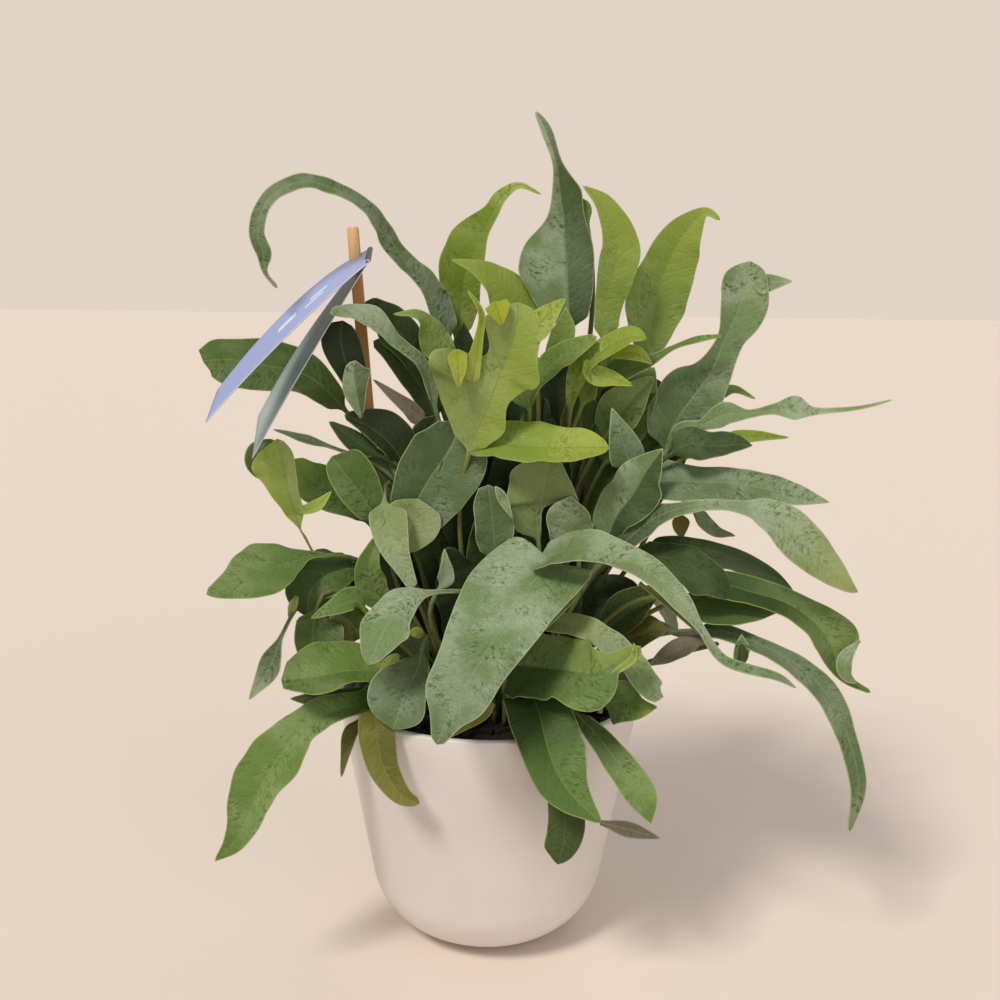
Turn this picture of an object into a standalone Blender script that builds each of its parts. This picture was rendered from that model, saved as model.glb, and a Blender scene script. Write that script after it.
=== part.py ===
"""Potted blue star fern (Phlebodium aureum 'Blue Star') in a white cover pot, as closed solids.

Metres, +Z up. The origin is the centre of the cover pot's foot on the surface it stands on,
and the front is -Y. Lengths that follow a frond are written
in millimetres in the FRONDS table and turned to metres by MM.
"""
import math

import bmesh
import bpy
import numpy as np
from mathutils import Vector

MM = 0.001
GAP = 0.0003                 # clearance between pieces that rest on each other

# Cover pot: glazed ceramic, straight flared wall that rounds in to a small flat foot
POT_HEIGHT = 0.126
POT_RIM_RADIUS = 0.075
POT_TAPER = 0.179            # growth of the wall's radius per unit of height
POT_CORNER_RADIUS = 0.037    # radius of the curve between the wall and the foot
POT_WALL = 0.0035
POT_LIP_RADIUS = 0.0012
TURNED_SIDES = 48

# Nursery pot: thin black plastic, its rim just under the cover pot's rim
NURSERY_RIM_HEIGHT = 0.121
NURSERY_RIM_RADIUS = 0.0690
NURSERY_LIP_DEPTH = 0.006
NURSERY_LIP_OUT = 0.0022
NURSERY_BASE_RADIUS = 0.040
NURSERY_WALL = 0.0012
DRAIN_HOLES = 6
DRAIN_RADIUS = 0.004
DRAIN_CIRCLE_RADIUS = 0.024

SOIL_TOP = 0.112

# Rhizomes: creeping stems that lie on the soil near the nursery pot's edge
RHIZOME_RADIUS = 0.0045
RHIZOME_RING = 0.052

# Wooden stake and the folded card tag that hangs on it
STAKE_SIDE = 0.0052
STAKE_FOOT = Vector((-0.040, 0.014, 0.045))
STAKE_TOP = Vector((-0.0645, 0.006, 0.3465))
STAKE_CHAMFER = 0.0008
TAG_THICKNESS = 0.0006
TAG_HOLE = 0.0066
TAG_FOLD_OUT = 0.0016         # how far the rounded fold stands past the flaps' tops

# Fronds
STALK_WIDTH = 2.2 * MM
BLADE_THICKNESS = 0.8 * MM
EDGE_THICKNESS = 0.5 * MM
STALK_SPREAD = 0.42          # distance of a stalk's foot from the axis, as a share of its blade's
STALK_MOST = 0.044           # farthest a stalk's foot stands from the axis
STALK_RINGS = 4
RING_SPACING = 14 * MM

LEAF_COLOURS = {
    "glaucous": (0.20, 0.31, 0.22),
    "deep": (0.07, 0.15, 0.06),
    "young": (0.32, 0.45, 0.07),
    "green": (0.17, 0.30, 0.09),
    "olive": (0.28, 0.27, 0.06),
}

UPWARD = (0, -0.5, 0.85)
FACING = (0, -0.9, 0.4)


def frond(name, colour, blade, width, face=(UPWARD,), fold=14, left=None, foot=None):
    """One row of the table.

    blade is the midrib from the top of the stalk to the tip, width the blade's widths at even
    steps along it (or the right half's, where left gives the other half's), face the way its
    upper side looks along the same length, and fold the angle by which both halves rise.
    foot is where the stalk leaves the soil, if that isn't under the blade.
    """
    right = [w / 2 for w in width] if left is None else width
    return {
        "name": "frond_" + name,
        "colour": colour,
        "blade": [Vector(p) * MM for p in blade],
        "right": [w * MM for w in right],
        "left": [w * MM for w in (right if left is None else left)],
        "face": [Vector(f).normalized() for f in face],
        "fold": math.radians(fold),
        "foot": None if foot is None else Vector((foot[0], foot[1], 0)) * MM,
    }


FRONDS = [
    # Top of the clump, from the left
    frond("crozier", "glaucous",
          [(-17, 20, 291), (-33, 14, 326), (-44, 5, 339), (-53, -5, 353), (-67, -12, 362),
           (-84, -18, 365), (-97, -24, 359), (-103, -28, 350), (-102, -30, 340),
           (-100, -30, 331), (-93, -30, 319)],
          (14, 14, 12, 10, 8, 7.5, 7.5, 8, 9, 5, 4, 1), face=(FACING, (0.2, -0.8, 0.5))),
    frond("yellow_top", "young",
          [(-18, 26, 290), (-15, 26, 313), (-10, 26, 332), (-3, 26, 348), (4, 25, 360),
           (9, 24, 366), (22, 22, 363)],
          (10, 16, 19, 17, 11, 6, 3), face=(FACING,)),
    frond("light_top", "green",
          [(18, 8, 290), (13, 8, 309), (3, 5, 321), (-8, 0, 328), (-20, -4, 332)],
          (16, 25, 18, 9, 2), face=((0, -0.8, 0.6),)),
    frond("tall", "glaucous",
          [(39, 14, 300), (37, 14, 319), (35, 16, 335), (34, 18, 349), (31, 18, 362),
           (28, 18, 376), (25, 18, 387), (21, 17, 396), (16, 17, 399)],
          (5, 9, 12, 10, 6, 5, 3, 3, 2), left=(6, 13, 17, 14, 6, 3, 3, 3, 2), face=(FACING,)),
    frond("light_arch", "green",
          [(54, 20, 290), (54, 20, 309), (56, 19, 326), (58, 15, 342), (52, 9, 356), (41, 4, 365)],
          (12, 14, 14, 14, 9, 3), face=(FACING, (0, -0.6, 0.8))),
    frond("big_right", "green",
          [(71, 24, 280), (76, 24, 304), (84, 24, 326), (92, 20, 345), (104, 15, 353)],
          (16, 30, 29, 23, 6), face=(FACING,)),
    frond("blue_s", "glaucous",
          [(83, 4, 246), (94, 4, 266), (103, 6, 282), (110, 8, 301), (118, 8, 318), (137, 4, 324)],
          (18, 30, 23, 19, 20, 5), face=(FACING,), foot=(33, 11)),

    # Upper left
    frond("far_left", "deep",
          [(-66, 16, 257), (-82, 12, 272), (-98, 8, 281), (-115, 3, 286), (-134, -3, 287)],
          (6, 14, 20, 23, 21), face=((0, -0.8, 0.6),), foot=(-32, 24)),
    frond("beside_stake", "deep",
          [(-61, -3, 257), (-69, -3, 273), (-73, -3, 286), (-75, -4, 295), (-74, -6, 302)],
          (4, 12, 19, 18, 7), face=((0.1, -0.9, 0.4),)),
    frond("left_arch", "glaucous",
          [(-26, 2, 256), (-32, -2, 275), (-40, -8, 291), (-50, -13, 302), (-61, -19, 308),
           (-73, -23, 308)],
          (5, 9, 9, 9, 9, 6), face=((0.3, -0.8, 0.5), (0, -0.6, 0.8))),
    frond("dark_upper_left", "deep",
          [(-31, 38, 268), (-39, 40, 288), (-48, 40, 301), (-61, 38, 311)],
          (8, 18, 18, 10), face=(FACING,)),

    # Right side, from the top down
    frond("curled_bright", "young",
          [(36, -4, 256), (37, -8, 270), (43, -12, 284), (53, -17, 294), (68, -22, 299)],
          (4, 8, 10, 9, 9), face=((-0.2, -0.7, 0.7),)),
    frond("veined_right", "deep",
          [(52, 8, 244), (59, 6, 261), (68, 6, 268), (81, 6, 276)],
          (10, 23, 20, 4), face=((0, -0.8, 0.6),)),
    frond("wavy_right", "glaucous",
          [(84, -12, 242), (88, -16, 254), (102, -19, 260), (113, -20, 265), (126, -22, 265),
           (139, -24, 268), (152, -25, 267), (167, -26, 266), (182, -27, 272)],
          (5, 7, 10, 9, 6, 11, 5, 3, 1), face=((0, -0.6, 0.8),), foot=(30, 4)),
    frond("dark_right", "deep",
          [(83, -24, 230), (86, -28, 247), (101, -30, 249), (118, -32, 251)],
          (6, 16, 16, 10), face=((0, -0.9, 0.3),), foot=(36, -13)),
    frond("pointed_right", "glaucous",
          [(50, -24, 198), (60, -26, 219), (69, -30, 235), (78, -34, 248)],
          (12, 25, 18, 3), face=(FACING,)),
    frond("long_right", "glaucous",
          [(80, -12, 219), (92, -20, 229), (111, -24, 231), (133, -29, 230), (152, -34, 227)],
          (7, 15, 16, 12, 9), face=((0, -0.8, 0.6),), foot=(38, -7)),
    frond("speckled_arch", "green",
          [(54, -30, 192), (69, -38, 211), (86, -45, 222), (103, -50, 227), (121, -56, 225),
           (136, -61, 216), (149, -66, 204), (160, -69, 192)],
          (5, 11, 11, 9, 14, 21, 18, 5), face=((0, -0.7, 0.7), (0.3, -0.7, 0.6))),

    # Middle, from the left
    frond("mid_left_back", "glaucous",
          [(-50, -1, 200), (-65, -3, 213), (-80, -4, 225), (-92, -5, 236)],
          (7, 16, 20, 13), face=((0, -0.85, 0.5),)),
    frond("mid_left", "glaucous",
          [(-43, -8, 198), (-53, -12, 215), (-66, -17, 230), (-76, -19, 240)],
          (8, 18, 16, 7), face=(FACING,)),
    frond("broad_centre", "deep",
          [(-34, 4, 210), (-32, 2, 232), (-28, 0, 247), (-24, 0, 260)],
          (14, 29, 24, 10), face=(FACING,)),
    frond("centre_lobed", "glaucous",
          [(-46, -14, 226), (-46, -24, 214), (-41, -32, 200), (-34, -38, 184)],
          (8, 8, 8, 3), left=(4, 20, 8, 3), face=((0, -0.9, 0.45),), foot=(-14, -15)),
    frond("young_centre", "young",
          [(-11, -18, 242), (-5, -26, 258), (2, -30, 277), (9, -32, 292), (12, -32, 304),
           (12, -30, 315)],
          (10, 50, 34, 12, 16, 18, 16, 9), left=(6, 12, 19, 20, 20, 14, 9, 8),
          face=((-0.1, -0.95, 0.2),), fold=4),
    frond("grey_centre", "glaucous",
          [(27, -10, 196), (22, -16, 215), (23, -19, 232), (26, -19, 247)],
          (8, 22, 31, 22), face=(FACING,)),
    frond("young_left", "young",
          [(-88, -20, 207), (-93, -23, 222), (-97, -25, 237), (-97, -26, 250)],
          (8, 16, 8, 8), left=(5, 8, 17, 9), face=(FACING,), foot=(-37, -8)),
    frond("left", "glaucous",
          [(-72, -20, 193), (-86, -27, 196), (-101, -36, 192), (-113, -43, 188), (-126, -50, 184)],
          (5, 9, 23, 18, 5), face=((0, -0.7, 0.7),)),
    frond("dark_left", "deep",
          [(-58, 3, 189), (-69, 2, 190), (-80, -2, 183), (-86, -8, 170)],
          (8, 18, 23, 9), face=((-0.3, -0.7, 0.6),)),
    frond("upright_left", "green",
          [(-45, -16, 165), (-53, -20, 178), (-56, -22, 191), (-52, -22, 205)],
          (7, 15, 13, 4), face=(FACING,)),

    # Lower right
    frond("dark_lower_right", "deep",
          [(62, -24, 184), (76, -30, 196), (92, -35, 195), (112, -42, 182)],
          (9, 16, 15, 4), face=((0, -0.7, 0.7),)),
    frond("thin_arch", "deep",
          [(67, -12, 195), (83, -12, 202), (102, -14, 199), (123, -18, 193), (143, -22, 180)],
          (5, 7, 8, 11, 4), face=((0, -0.5, 0.85),)),
    frond("drooping", "deep",
          [(77, -24, 172), (98, -33, 181), (118, -40, 184), (137, -47, 180), (153, -52, 168),
           (163, -52, 153), (175, -50, 138)],
          (5, 10, 12, 17, 20, 11, 4), face=((0, -0.7, 0.7), (0.3, -0.8, 0.5)), foot=(30, -20)),
    frond("long_arching", "deep",
          [(85, -36, 161), (104, -44, 164), (124, -52, 161), (144, -58, 148), (159, -62, 131),
           (170, -65, 108), (172, -66, 91), (167, -67, 77)],
          (4, 7, 9, 11, 10, 7, 6, 2), face=((0, -0.7, 0.7), (0.5, -0.8, 0.3))),
    frond("lower_bend", "glaucous",
          [(22, -42, 166), (32, -52, 174), (47, -60, 173), (61, -68, 166), (70, -75, 150),
           (74, -77, 143)],
          (5, 8, 11, 14, 12, 7), face=((0, -0.6, 0.8), (0.4, -0.8, 0.4)), foot=(22, -16)),
    frond("lower_broad", "green",
          [(14, -52, 158), (26, -64, 159), (40, -76, 158), (53, -86, 160), (63, -90, 170)],
          (12, 27, 25, 14, 4), face=((0, -0.8, 0.6),)),
    frond("front_large", "glaucous",
          [(27, -58, 206), (18, -68, 199), (9, -80, 187), (0, -90, 175), (-10, -98, 160),
           (-16, -102, 149), (-21, -105, 137)],
          (14, 22, 20, 16, 13, 8, 2), left=(12, 20, 22, 23, 18, 10, 2),
          face=((-0.2, -0.7, 0.7), (-0.1, -0.9, 0.4)), foot=(5, -27)),
    frond("front_arch", "glaucous",
          [(25, -33, 190), (31, -43, 205), (43, -58, 212), (57, -78, 208), (73, -88, 199),
           (84, -94, 189), (93, -95, 174), (105, -95, 167), (129, -93, 158)],
          (5, 10, 13, 13, 11, 7, 4, 4, 1), face=((0.1, -0.7, 0.7), (0.2, -0.8, 0.5))),
    frond("front_low", "deep",
          [(17, -70, 143), (20, -80, 135), (26, -90, 124), (37, -97, 111), (48, -100, 101),
           (60, -101, 97), (73, -102, 94)],
          (16, 24, 24, 19, 3, 6, 2), face=((0, -0.9, 0.5),)),
    frond("right_low", "green",
          [(36, -64, 139), (45, -74, 132), (55, -82, 123), (63, -87, 113), (71, -89, 97)],
          (5, 7, 11, 16, 10), face=((0.2, -0.9, 0.4),)),
    frond("hanging_front", "deep",
          [(30, -73, 128), (31, -82, 107), (34, -85, 90), (31, -84, 75)],
          (5, 15, 18, 9), face=((0, -1, 0.1),)),

    # Lower left
    frond("spoon", "glaucous",
          [(-9, -38, 182), (-22, -48, 187), (-35, -58, 185), (-46, -68, 174), (-55, -74, 163)],
          (3, 5, 14, 18, 11), face=((0, -0.7, 0.7),)),
    frond("round_left", "green",
          [(-47, -44, 147), (-59, -52, 150), (-74, -59, 151), (-91, -63, 151)],
          (5, 14, 20, 16), face=((0, -0.7, 0.7),), foot=(-26, -13)),
    frond("hanging_left", "glaucous",
          [(-87, -34, 172), (-94, -38, 162), (-99, -41, 152), (-109, -44, 137)],
          (4, 4, 13, 6), face=((-0.3, -0.9, 0.3),)),
    frond("left_low", "green",
          [(-42, -44, 132), (-56, -53, 133), (-72, -60, 132), (-88, -67, 122), (-99, -73, 108),
           (-107, -77, 93), (-110, -79, 84), (-121, -80, 72)],
          (8, 10, 18, 28, 25, 18, 16, 4), face=((0, -0.8, 0.6),)),
    frond("olive", "olive",
          [(-46, -62, 130), (-49, -70, 120), (-46, -76, 110), (-39, -79, 101), (-31, -80, 97)],
          (10, 15, 13, 8, 7), face=((-0.1, -1, 0.2),)),

    # Back and sides
    frond("back_low", "deep",
          [(0, 62, 148), (0, 92, 150), (-2, 118, 128), (-4, 132, 98)],
          (8, 20, 19, 8), face=((0, 0.5, 0.85),)),
    frond("back_low_left", "green",
          [(-44, 44, 146), (-68, 64, 154), (-90, 80, 141), (-104, 92, 117)],
          (8, 19, 20, 9), face=((-0.3, 0.3, 0.9),)),
    frond("back_low_right", "glaucous",
          [(46, 46, 146), (72, 68, 156), (94, 84, 146), (106, 96, 122)],
          (8, 18, 19, 8), face=((0.3, 0.3, 0.9),)),
    frond("back_left", "glaucous",
          [(-38, 50, 200), (-58, 80, 222), (-76, 108, 212), (-86, 128, 188)],
          (8, 22, 20, 8), face=((-0.3, 0.4, 0.85),)),
    frond("back_middle", "green",
          [(-6, 60, 206), (-10, 92, 226), (-14, 120, 214), (-18, 142, 186)],
          (8, 24, 22, 9), face=((0, 0.5, 0.85),)),
    frond("back_right", "deep",
          [(36, 54, 212), (58, 82, 236), (78, 108, 232), (94, 130, 210)],
          (8, 22, 21, 8), face=((0.3, 0.4, 0.85),)),
    frond("back_tall", "glaucous",
          [(4, 50, 262), (6, 66, 292), (8, 84, 310), (12, 104, 314)],
          (8, 20, 18, 6), face=((0, -0.8, 0.6), (0, -0.3, 0.95))),
    frond("back_tall_left", "deep",
          [(-24, 52, 254), (-36, 70, 278), (-48, 92, 286), (-58, 112, 276)],
          (8, 18, 17, 6), face=((-0.2, 0.1, 0.95),)),
]


# ---------------------------------------------------------------- meshes and objects

def clear_scene():
    for item in list(bpy.data.objects):
        bpy.data.objects.remove(item, do_unlink=True)


def material(name, colour, roughness, metallic=0.0):
    made = bpy.data.materials.new(name)
    made.use_nodes = True
    shader = made.node_tree.nodes["Principled BSDF"]
    shader.inputs["Base Color"].default_value = (*colour, 1)
    shader.inputs["Roughness"].default_value = roughness
    shader.inputs["Metallic"].default_value = metallic
    made.diffuse_color = (*colour, 1)
    return made


def add_object(name, mesh, finish=None):
    made = bpy.data.objects.new(name, mesh)
    bpy.context.scene.collection.objects.link(made)
    if finish is not None:
        mesh.materials.append(finish)
    return made


def mesh_from_bmesh(name, bm):
    if bm.calc_volume(signed=True) < 0:
        bmesh.ops.reverse_faces(bm, faces=bm.faces)
    mesh = bpy.data.meshes.new(name)
    bm.to_mesh(mesh)
    bm.free()
    return mesh


def loft(name, rings):
    """A closed mesh through rings of equally many points, with a flat face at each end."""
    bm = bmesh.new()
    loops = [[bm.verts.new(p) for p in ring] for ring in rings]
    count = len(loops[0])
    for low, high in zip(loops, loops[1:]):
        for i in range(count):
            j = (i + 1) % count
            bm.faces.new((low[i], low[j], high[j], high[i]))
    bm.faces.new(list(reversed(loops[0])))
    bm.faces.new(loops[-1])
    bmesh.ops.triangulate(bm, faces=bm.faces)
    return mesh_from_bmesh(name, bm)


def turned(name, outline, sides=TURNED_SIDES):
    """A closed solid of revolution; outline runs from the axis at the foot round to the axis."""
    bm = bmesh.new()
    rows = []
    for radius, height in outline:
        if radius < 1e-6:
            rows.append([bm.verts.new((0, 0, height))])
            continue
        turn = [2 * math.pi * k / sides for k in range(sides)]
        rows.append([bm.verts.new((radius * math.cos(a), radius * math.sin(a), height)) for a in turn])
    for low, high in zip(rows, rows[1:]):
        for k in range(sides):
            a, b = low[k % len(low)], low[(k + 1) % len(low)]
            c, d = high[(k + 1) % len(high)], high[k % len(high)]
            corners = [a, b, c, d]
            bm.faces.new([v for i, v in enumerate(corners) if v not in corners[:i]])
    return mesh_from_bmesh(name, bm)


def smooth(mesh, degrees=40):
    mesh.shade_smooth()
    mesh.set_sharp_from_angle(angle=math.radians(degrees))


def cut(target, name, mesh):
    """Takes the shape of mesh out of target."""
    cutter = add_object(name, mesh)
    cutter.hide_render = True
    cutter.display_type = 'WIRE'
    boolean = target.modifiers.new(name, 'BOOLEAN')
    boolean.operation = 'DIFFERENCE'
    boolean.solver = 'EXACT'
    boolean.object = cutter


# ---------------------------------------------------------------- pots and soil

def arc(centre, radius, start, end, steps):
    """Points of an arc in the (radius, height) plane, angles in degrees."""
    turn = [math.radians(start + (end - start) * k / steps) for k in range(steps + 1)]
    return [(centre[0] + radius * math.cos(a), centre[1] + radius * math.sin(a)) for a in turn]


WALL_LEAN = math.degrees(math.atan(POT_TAPER))


def pot_side(inset):
    """Outline of the cover pot's wall, inset from its outer face: foot, corner curve, rim."""
    lean = math.radians(WALL_LEAN)
    corner = POT_CORNER_RADIUS - inset
    rise = POT_CORNER_RADIUS
    # the corner's centre lies one radius inside the outer wall, measured square to it
    wall_at_centre = POT_RIM_RADIUS - (POT_HEIGHT - rise) * POT_TAPER
    centre = (wall_at_centre - POT_CORNER_RADIUS / math.cos(lean), rise)
    curve = arc(centre, corner, -90, -WALL_LEAN, 8)
    rim = POT_RIM_RADIUS - inset / math.cos(lean)
    return curve, (rim, POT_HEIGHT)


def inner_radius(height):
    """Inside radius of the cover pot at a height, on its curve or its straight wall."""
    curve, rim = pot_side(POT_WALL)
    points = sorted(curve + [rim], key=lambda p: p[1])
    heights = [p[1] for p in points]
    radii = [p[0] for p in points]
    return float(np.interp(height, heights, radii))


def cover_pot():
    outer, rim_out = pot_side(0)
    inner, rim_in = pot_side(POT_WALL)
    middle = ((rim_out[0] + rim_in[0]) / 2, POT_HEIGHT - POT_LIP_RADIUS)
    half_wall = (rim_out[0] - rim_in[0]) / 2
    lip = [(middle[0] + half_wall * math.cos(a), middle[1] + POT_LIP_RADIUS * math.sin(a))
           for a in (math.radians(30 * k) for k in range(7))]
    outline = [(0, 0)] + outer + lip + list(reversed(inner)) + [(0, inner[0][1])]
    mesh = turned("cover_pot", outline)
    smooth(mesh)
    return add_object("cover_pot", mesh, material("glazed_ceramic", (0.82, 0.77, 0.72), 0.35))


def nursery_base_height():
    """The nursery pot stands where the edge of its base meets the inside of the cover pot."""
    height = POT_WALL
    while inner_radius(height) < NURSERY_BASE_RADIUS + GAP:
        height += GAP
    return height + 2 * GAP


def nursery_radius(height):
    """Outside radius of the nursery pot's wall at a height."""
    base = nursery_base_height()
    share = (height - base) / (NURSERY_RIM_HEIGHT - base)
    top = NURSERY_RIM_RADIUS - NURSERY_LIP_OUT
    return NURSERY_BASE_RADIUS + (top - NURSERY_BASE_RADIUS) * share


def nursery_pot():
    base = nursery_base_height()
    lip_foot = NURSERY_RIM_HEIGHT - NURSERY_LIP_DEPTH
    lip_radius = nursery_radius(lip_foot)
    outline = [
        (0, base),
        (NURSERY_BASE_RADIUS, base),
        (lip_radius, lip_foot),
        (NURSERY_RIM_RADIUS - GAP, lip_foot),
        (NURSERY_RIM_RADIUS, NURSERY_RIM_HEIGHT),
        (NURSERY_RIM_RADIUS - NURSERY_LIP_OUT - NURSERY_WALL, NURSERY_RIM_HEIGHT),
        (nursery_radius(base + NURSERY_WALL) - NURSERY_WALL, base + NURSERY_WALL),
        (0, base + NURSERY_WALL),
    ]
    mesh = turned("grow_pot", outline)
    smooth(mesh)
    pot = add_object("grow_pot", mesh, material("black_polypropylene", (0.012, 0.013, 0.014), 0.5))
    bm = bmesh.new()
    for k in range(DRAIN_HOLES):
        turn = 2 * math.pi * k / DRAIN_HOLES
        made = bmesh.ops.create_cone(bm, cap_ends=True, segments=10, radius1=DRAIN_RADIUS,
                                     radius2=DRAIN_RADIUS, depth=0.01)
        place = Vector((DRAIN_CIRCLE_RADIUS * math.cos(turn), DRAIN_CIRCLE_RADIUS * math.sin(turn), base))
        bmesh.ops.translate(bm, verts=made["verts"], vec=place)
    cut(pot, "drain_holes", mesh_from_bmesh("drain_holes", bm))
    return pot


def stake_frame():
    """Axes of the stake: along it, and two across it."""
    along = (STAKE_TOP - STAKE_FOOT).normalized()
    side = along.cross(Vector((0, 1, 0))).normalized()
    return along, side, side.cross(along)


def square_bar(start, end, side_length, chamfer=0.0):
    """Rings of a square bar, with its top edges eased by chamfer."""
    along, side, front = stake_frame()
    half = side_length / 2
    corners = [(1, 1), (-1, 1), (-1, -1), (1, -1)]
    stations = [(start, half), (end - along * chamfer, half)]
    if chamfer:
        stations.append((end, half - chamfer))
    return [[at + side * (sx * h) + front * (sy * h) for sx, sy in corners] for at, h in stations]


def soil():
    base = nursery_base_height() + NURSERY_WALL + GAP
    clear = NURSERY_WALL + GAP
    outline = [
        (0, base),
        (nursery_radius(base) - clear, base),
        (nursery_radius(SOIL_TOP) - clear, SOIL_TOP),
        (0, SOIL_TOP),
    ]
    mesh = turned("soil", outline)
    ground = add_object("soil", mesh, material("potting_bark", (0.06, 0.035, 0.02), 0.95))
    along = stake_frame()[0]
    hole = loft("stake_hole", square_bar(STAKE_FOOT - along * GAP, STAKE_TOP, STAKE_SIDE + 2 * GAP))
    cut(ground, "stake_hole", hole)
    return ground


def rhizome(name, start, end, rise):
    """A creeping stem that follows the pot's edge between two angles, its tip lifted by rise."""
    sides, steps = 8, 7
    rings = []
    for k in range(steps + 1):
        share = k / steps
        turn = math.radians(start + (end - start) * share)
        radius = RHIZOME_RADIUS * (0.55 + 0.45 * math.sin(math.pi * min(1.0, 0.15 + share)) ** 0.5)
        height = SOIL_TOP + GAP + RHIZOME_RADIUS + rise * share ** 2
        centre = Vector((RHIZOME_RING * math.cos(turn), RHIZOME_RING * math.sin(turn), height))
        out = Vector((math.cos(turn), math.sin(turn), 0))
        rings.append([centre + out * (radius * math.cos(a)) + Vector((0, 0, radius * math.sin(a)))
                      for a in (2 * math.pi * i / sides for i in range(sides))])
    mesh = loft(name, rings)
    smooth(mesh, 60)
    return add_object(name, mesh, material(name + "_scales", (0.35, 0.16, 0.05), 0.9))


# ---------------------------------------------------------------- stake and tag

def stake():
    mesh = loft("stake", square_bar(STAKE_FOOT, STAKE_TOP, STAKE_SIDE, STAKE_CHAMFER))
    return add_object("stake", mesh, material("birch", (0.62, 0.42, 0.22), 0.7))


# Far and near edge of each flap, from the fold down to its end, in millimetres
TAG_FLAPS = (
    ([(-57, 12, 337), (-86, -12, 314), (-119, -40, 282)],
     [(-56, -9, 331), (-88, -32, 303), (-122, -58, 263)]),
    ([(-59, 12, 334), (-84, 0, 299), (-106, -12, 260)],
     [(-58, -9, 329), (-84, -20, 288), (-107, -34, 242)]),
)


def bow(points, share):
    """Point at a share of a gentle curve through three points."""
    first, middle, last = (Vector(p) * MM for p in points)
    control = middle * 2 - (first + last) / 2
    return first * (1 - share) ** 2 + control * (2 * share * (1 - share)) + last * share ** 2


def card_ring(far, near, along):
    """Four corners of the card across its width, square to the way it runs."""
    off = along.cross(far - near).normalized() * (TAG_THICKNESS / 2)
    return [far + off, near + off, near - off, far - off]


def tag():
    """One folded card: two bowed flaps that share a rounded fold, with a hole for the stake in each."""
    steps = 6
    flaps = [[(bow(far, k / steps), bow(near, k / steps)) for k in range(steps + 1)] for far, near in TAG_FLAPS]
    front, back = list(reversed(flaps[0])), flaps[1]
    rings = [[], []]
    for side, flap in enumerate((front, back)):
        for k, (far, near) in enumerate(flap):
            before, after = flap[max(k - 1, 0)], flap[min(k + 1, steps)]
            rings[side].append(card_ring(far, near, after[0] + after[1] - before[0] - before[1]))
    over = back[0][0] + back[0][1] - front[-1][0] - front[-1][1]
    outward = over.cross(front[-1][0] - front[-1][1]).normalized() * TAG_FOLD_OUT
    crown = [(a + b) / 2 + outward for a, b in zip(front[-1], back[0])]
    rings = rings[0] + [card_ring(*crown, over)] + rings[1]
    card = add_object("plant_tag", loft("plant_tag", rings), material("printed_card", (0.42, 0.46, 0.75), 0.5))
    along = stake_frame()[0]
    hole = square_bar(STAKE_TOP - along * 0.05, STAKE_TOP + along * 0.02, TAG_HOLE)
    cut(card, "tag_hole", loft("tag_hole", hole))
    return card


# ---------------------------------------------------------------- fronds

def curve_through(points, steps=10):
    """Points of a smooth curve through the given ones (Catmull-Rom), steps to each span."""
    ends = [points[0] * 2 - points[1]] + list(points) + [points[-1] * 2 - points[-2]]
    made = []
    for a, b, c, d in zip(ends, ends[1:], ends[2:], ends[3:]):
        for k in range(steps):
            t = k / steps
            made.append(0.5 * (2 * b + (c - a) * t + (2 * a - 5 * b + 4 * c - d) * t ** 2
                               + (3 * b - a - 3 * c + d) * t ** 3))
    made.append(points[-1].copy())
    return made


def stalk_curve(foot, blade, steps=12):
    """The stalk rises from the soil and meets the blade in the blade's own direction."""
    top = blade[0]
    start = (blade[1] - blade[0]).normalized()
    reach = (top - foot).length
    rise = foot + Vector((0, 0, reach * 0.4))
    lead = top - start * (reach * 0.3)
    made = []
    for k in range(steps):
        t = k / steps
        made.append(foot * (1 - t) ** 3 + rise * (3 * t * (1 - t) ** 2)
                    + lead * (3 * t ** 2 * (1 - t)) + top * t ** 3)
    return made


def read_along(points):
    """Returns the length of a run of points, and a function giving place and direction at a length."""
    at = [0.0]
    for a, b in zip(points, points[1:]):
        at.append(at[-1] + (b - a).length)

    def place(length):
        spot = Vector([float(np.interp(length, at, [p[i] for p in points])) for i in range(3)])
        ahead = min(length + 2 * MM, at[-1])
        behind = max(ahead - 4 * MM, 0.0)
        step = [float(np.interp(ahead, at, [p[i] for p in points])
                      - np.interp(behind, at, [p[i] for p in points])) for i in range(3)]
        return spot, Vector(step).normalized()

    return at[-1], place


def even(values, share):
    """Value at a share of the way along a list of evenly spaced ones."""
    return float(np.interp(share * (len(values) - 1), range(len(values)), values))


def facing(row, share):
    """The way the blade's upper side looks at a share of its length."""
    return Vector([even([f[i] for f in row["face"]], share) for i in range(3)]).normalized()


def foot_of(row):
    """Where a stalk leaves the soil: under its blade, drawn in towards the middle."""
    if row["foot"] is not None:
        foot = row["foot"].copy()
    else:
        foot = Vector((row["blade"][0].x, row["blade"][0].y, 0)) * STALK_SPREAD
        if foot.length > STALK_MOST:
            foot *= STALK_MOST / foot.length
    foot.z = SOIL_TOP + GAP
    return foot


def cross_section(spot, ahead, up, left, right, fold, middle, edge):
    """Six points round a blade or a stalk: its upper side, then its lower side."""
    normal = (up - ahead * up.dot(ahead)).normalized()
    across = ahead.cross(normal)
    rise = math.tan(fold)
    upper = [spot - across * left + normal * (left * rise + edge / 2),
             spot + normal * (middle / 2),
             spot + across * right + normal * (right * rise + edge / 2)]
    lower = [spot + across * right + normal * (right * rise - edge / 2),
             spot - normal * (middle / 2),
             spot - across * left + normal * (left * rise - edge / 2)]
    return upper + lower


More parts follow.
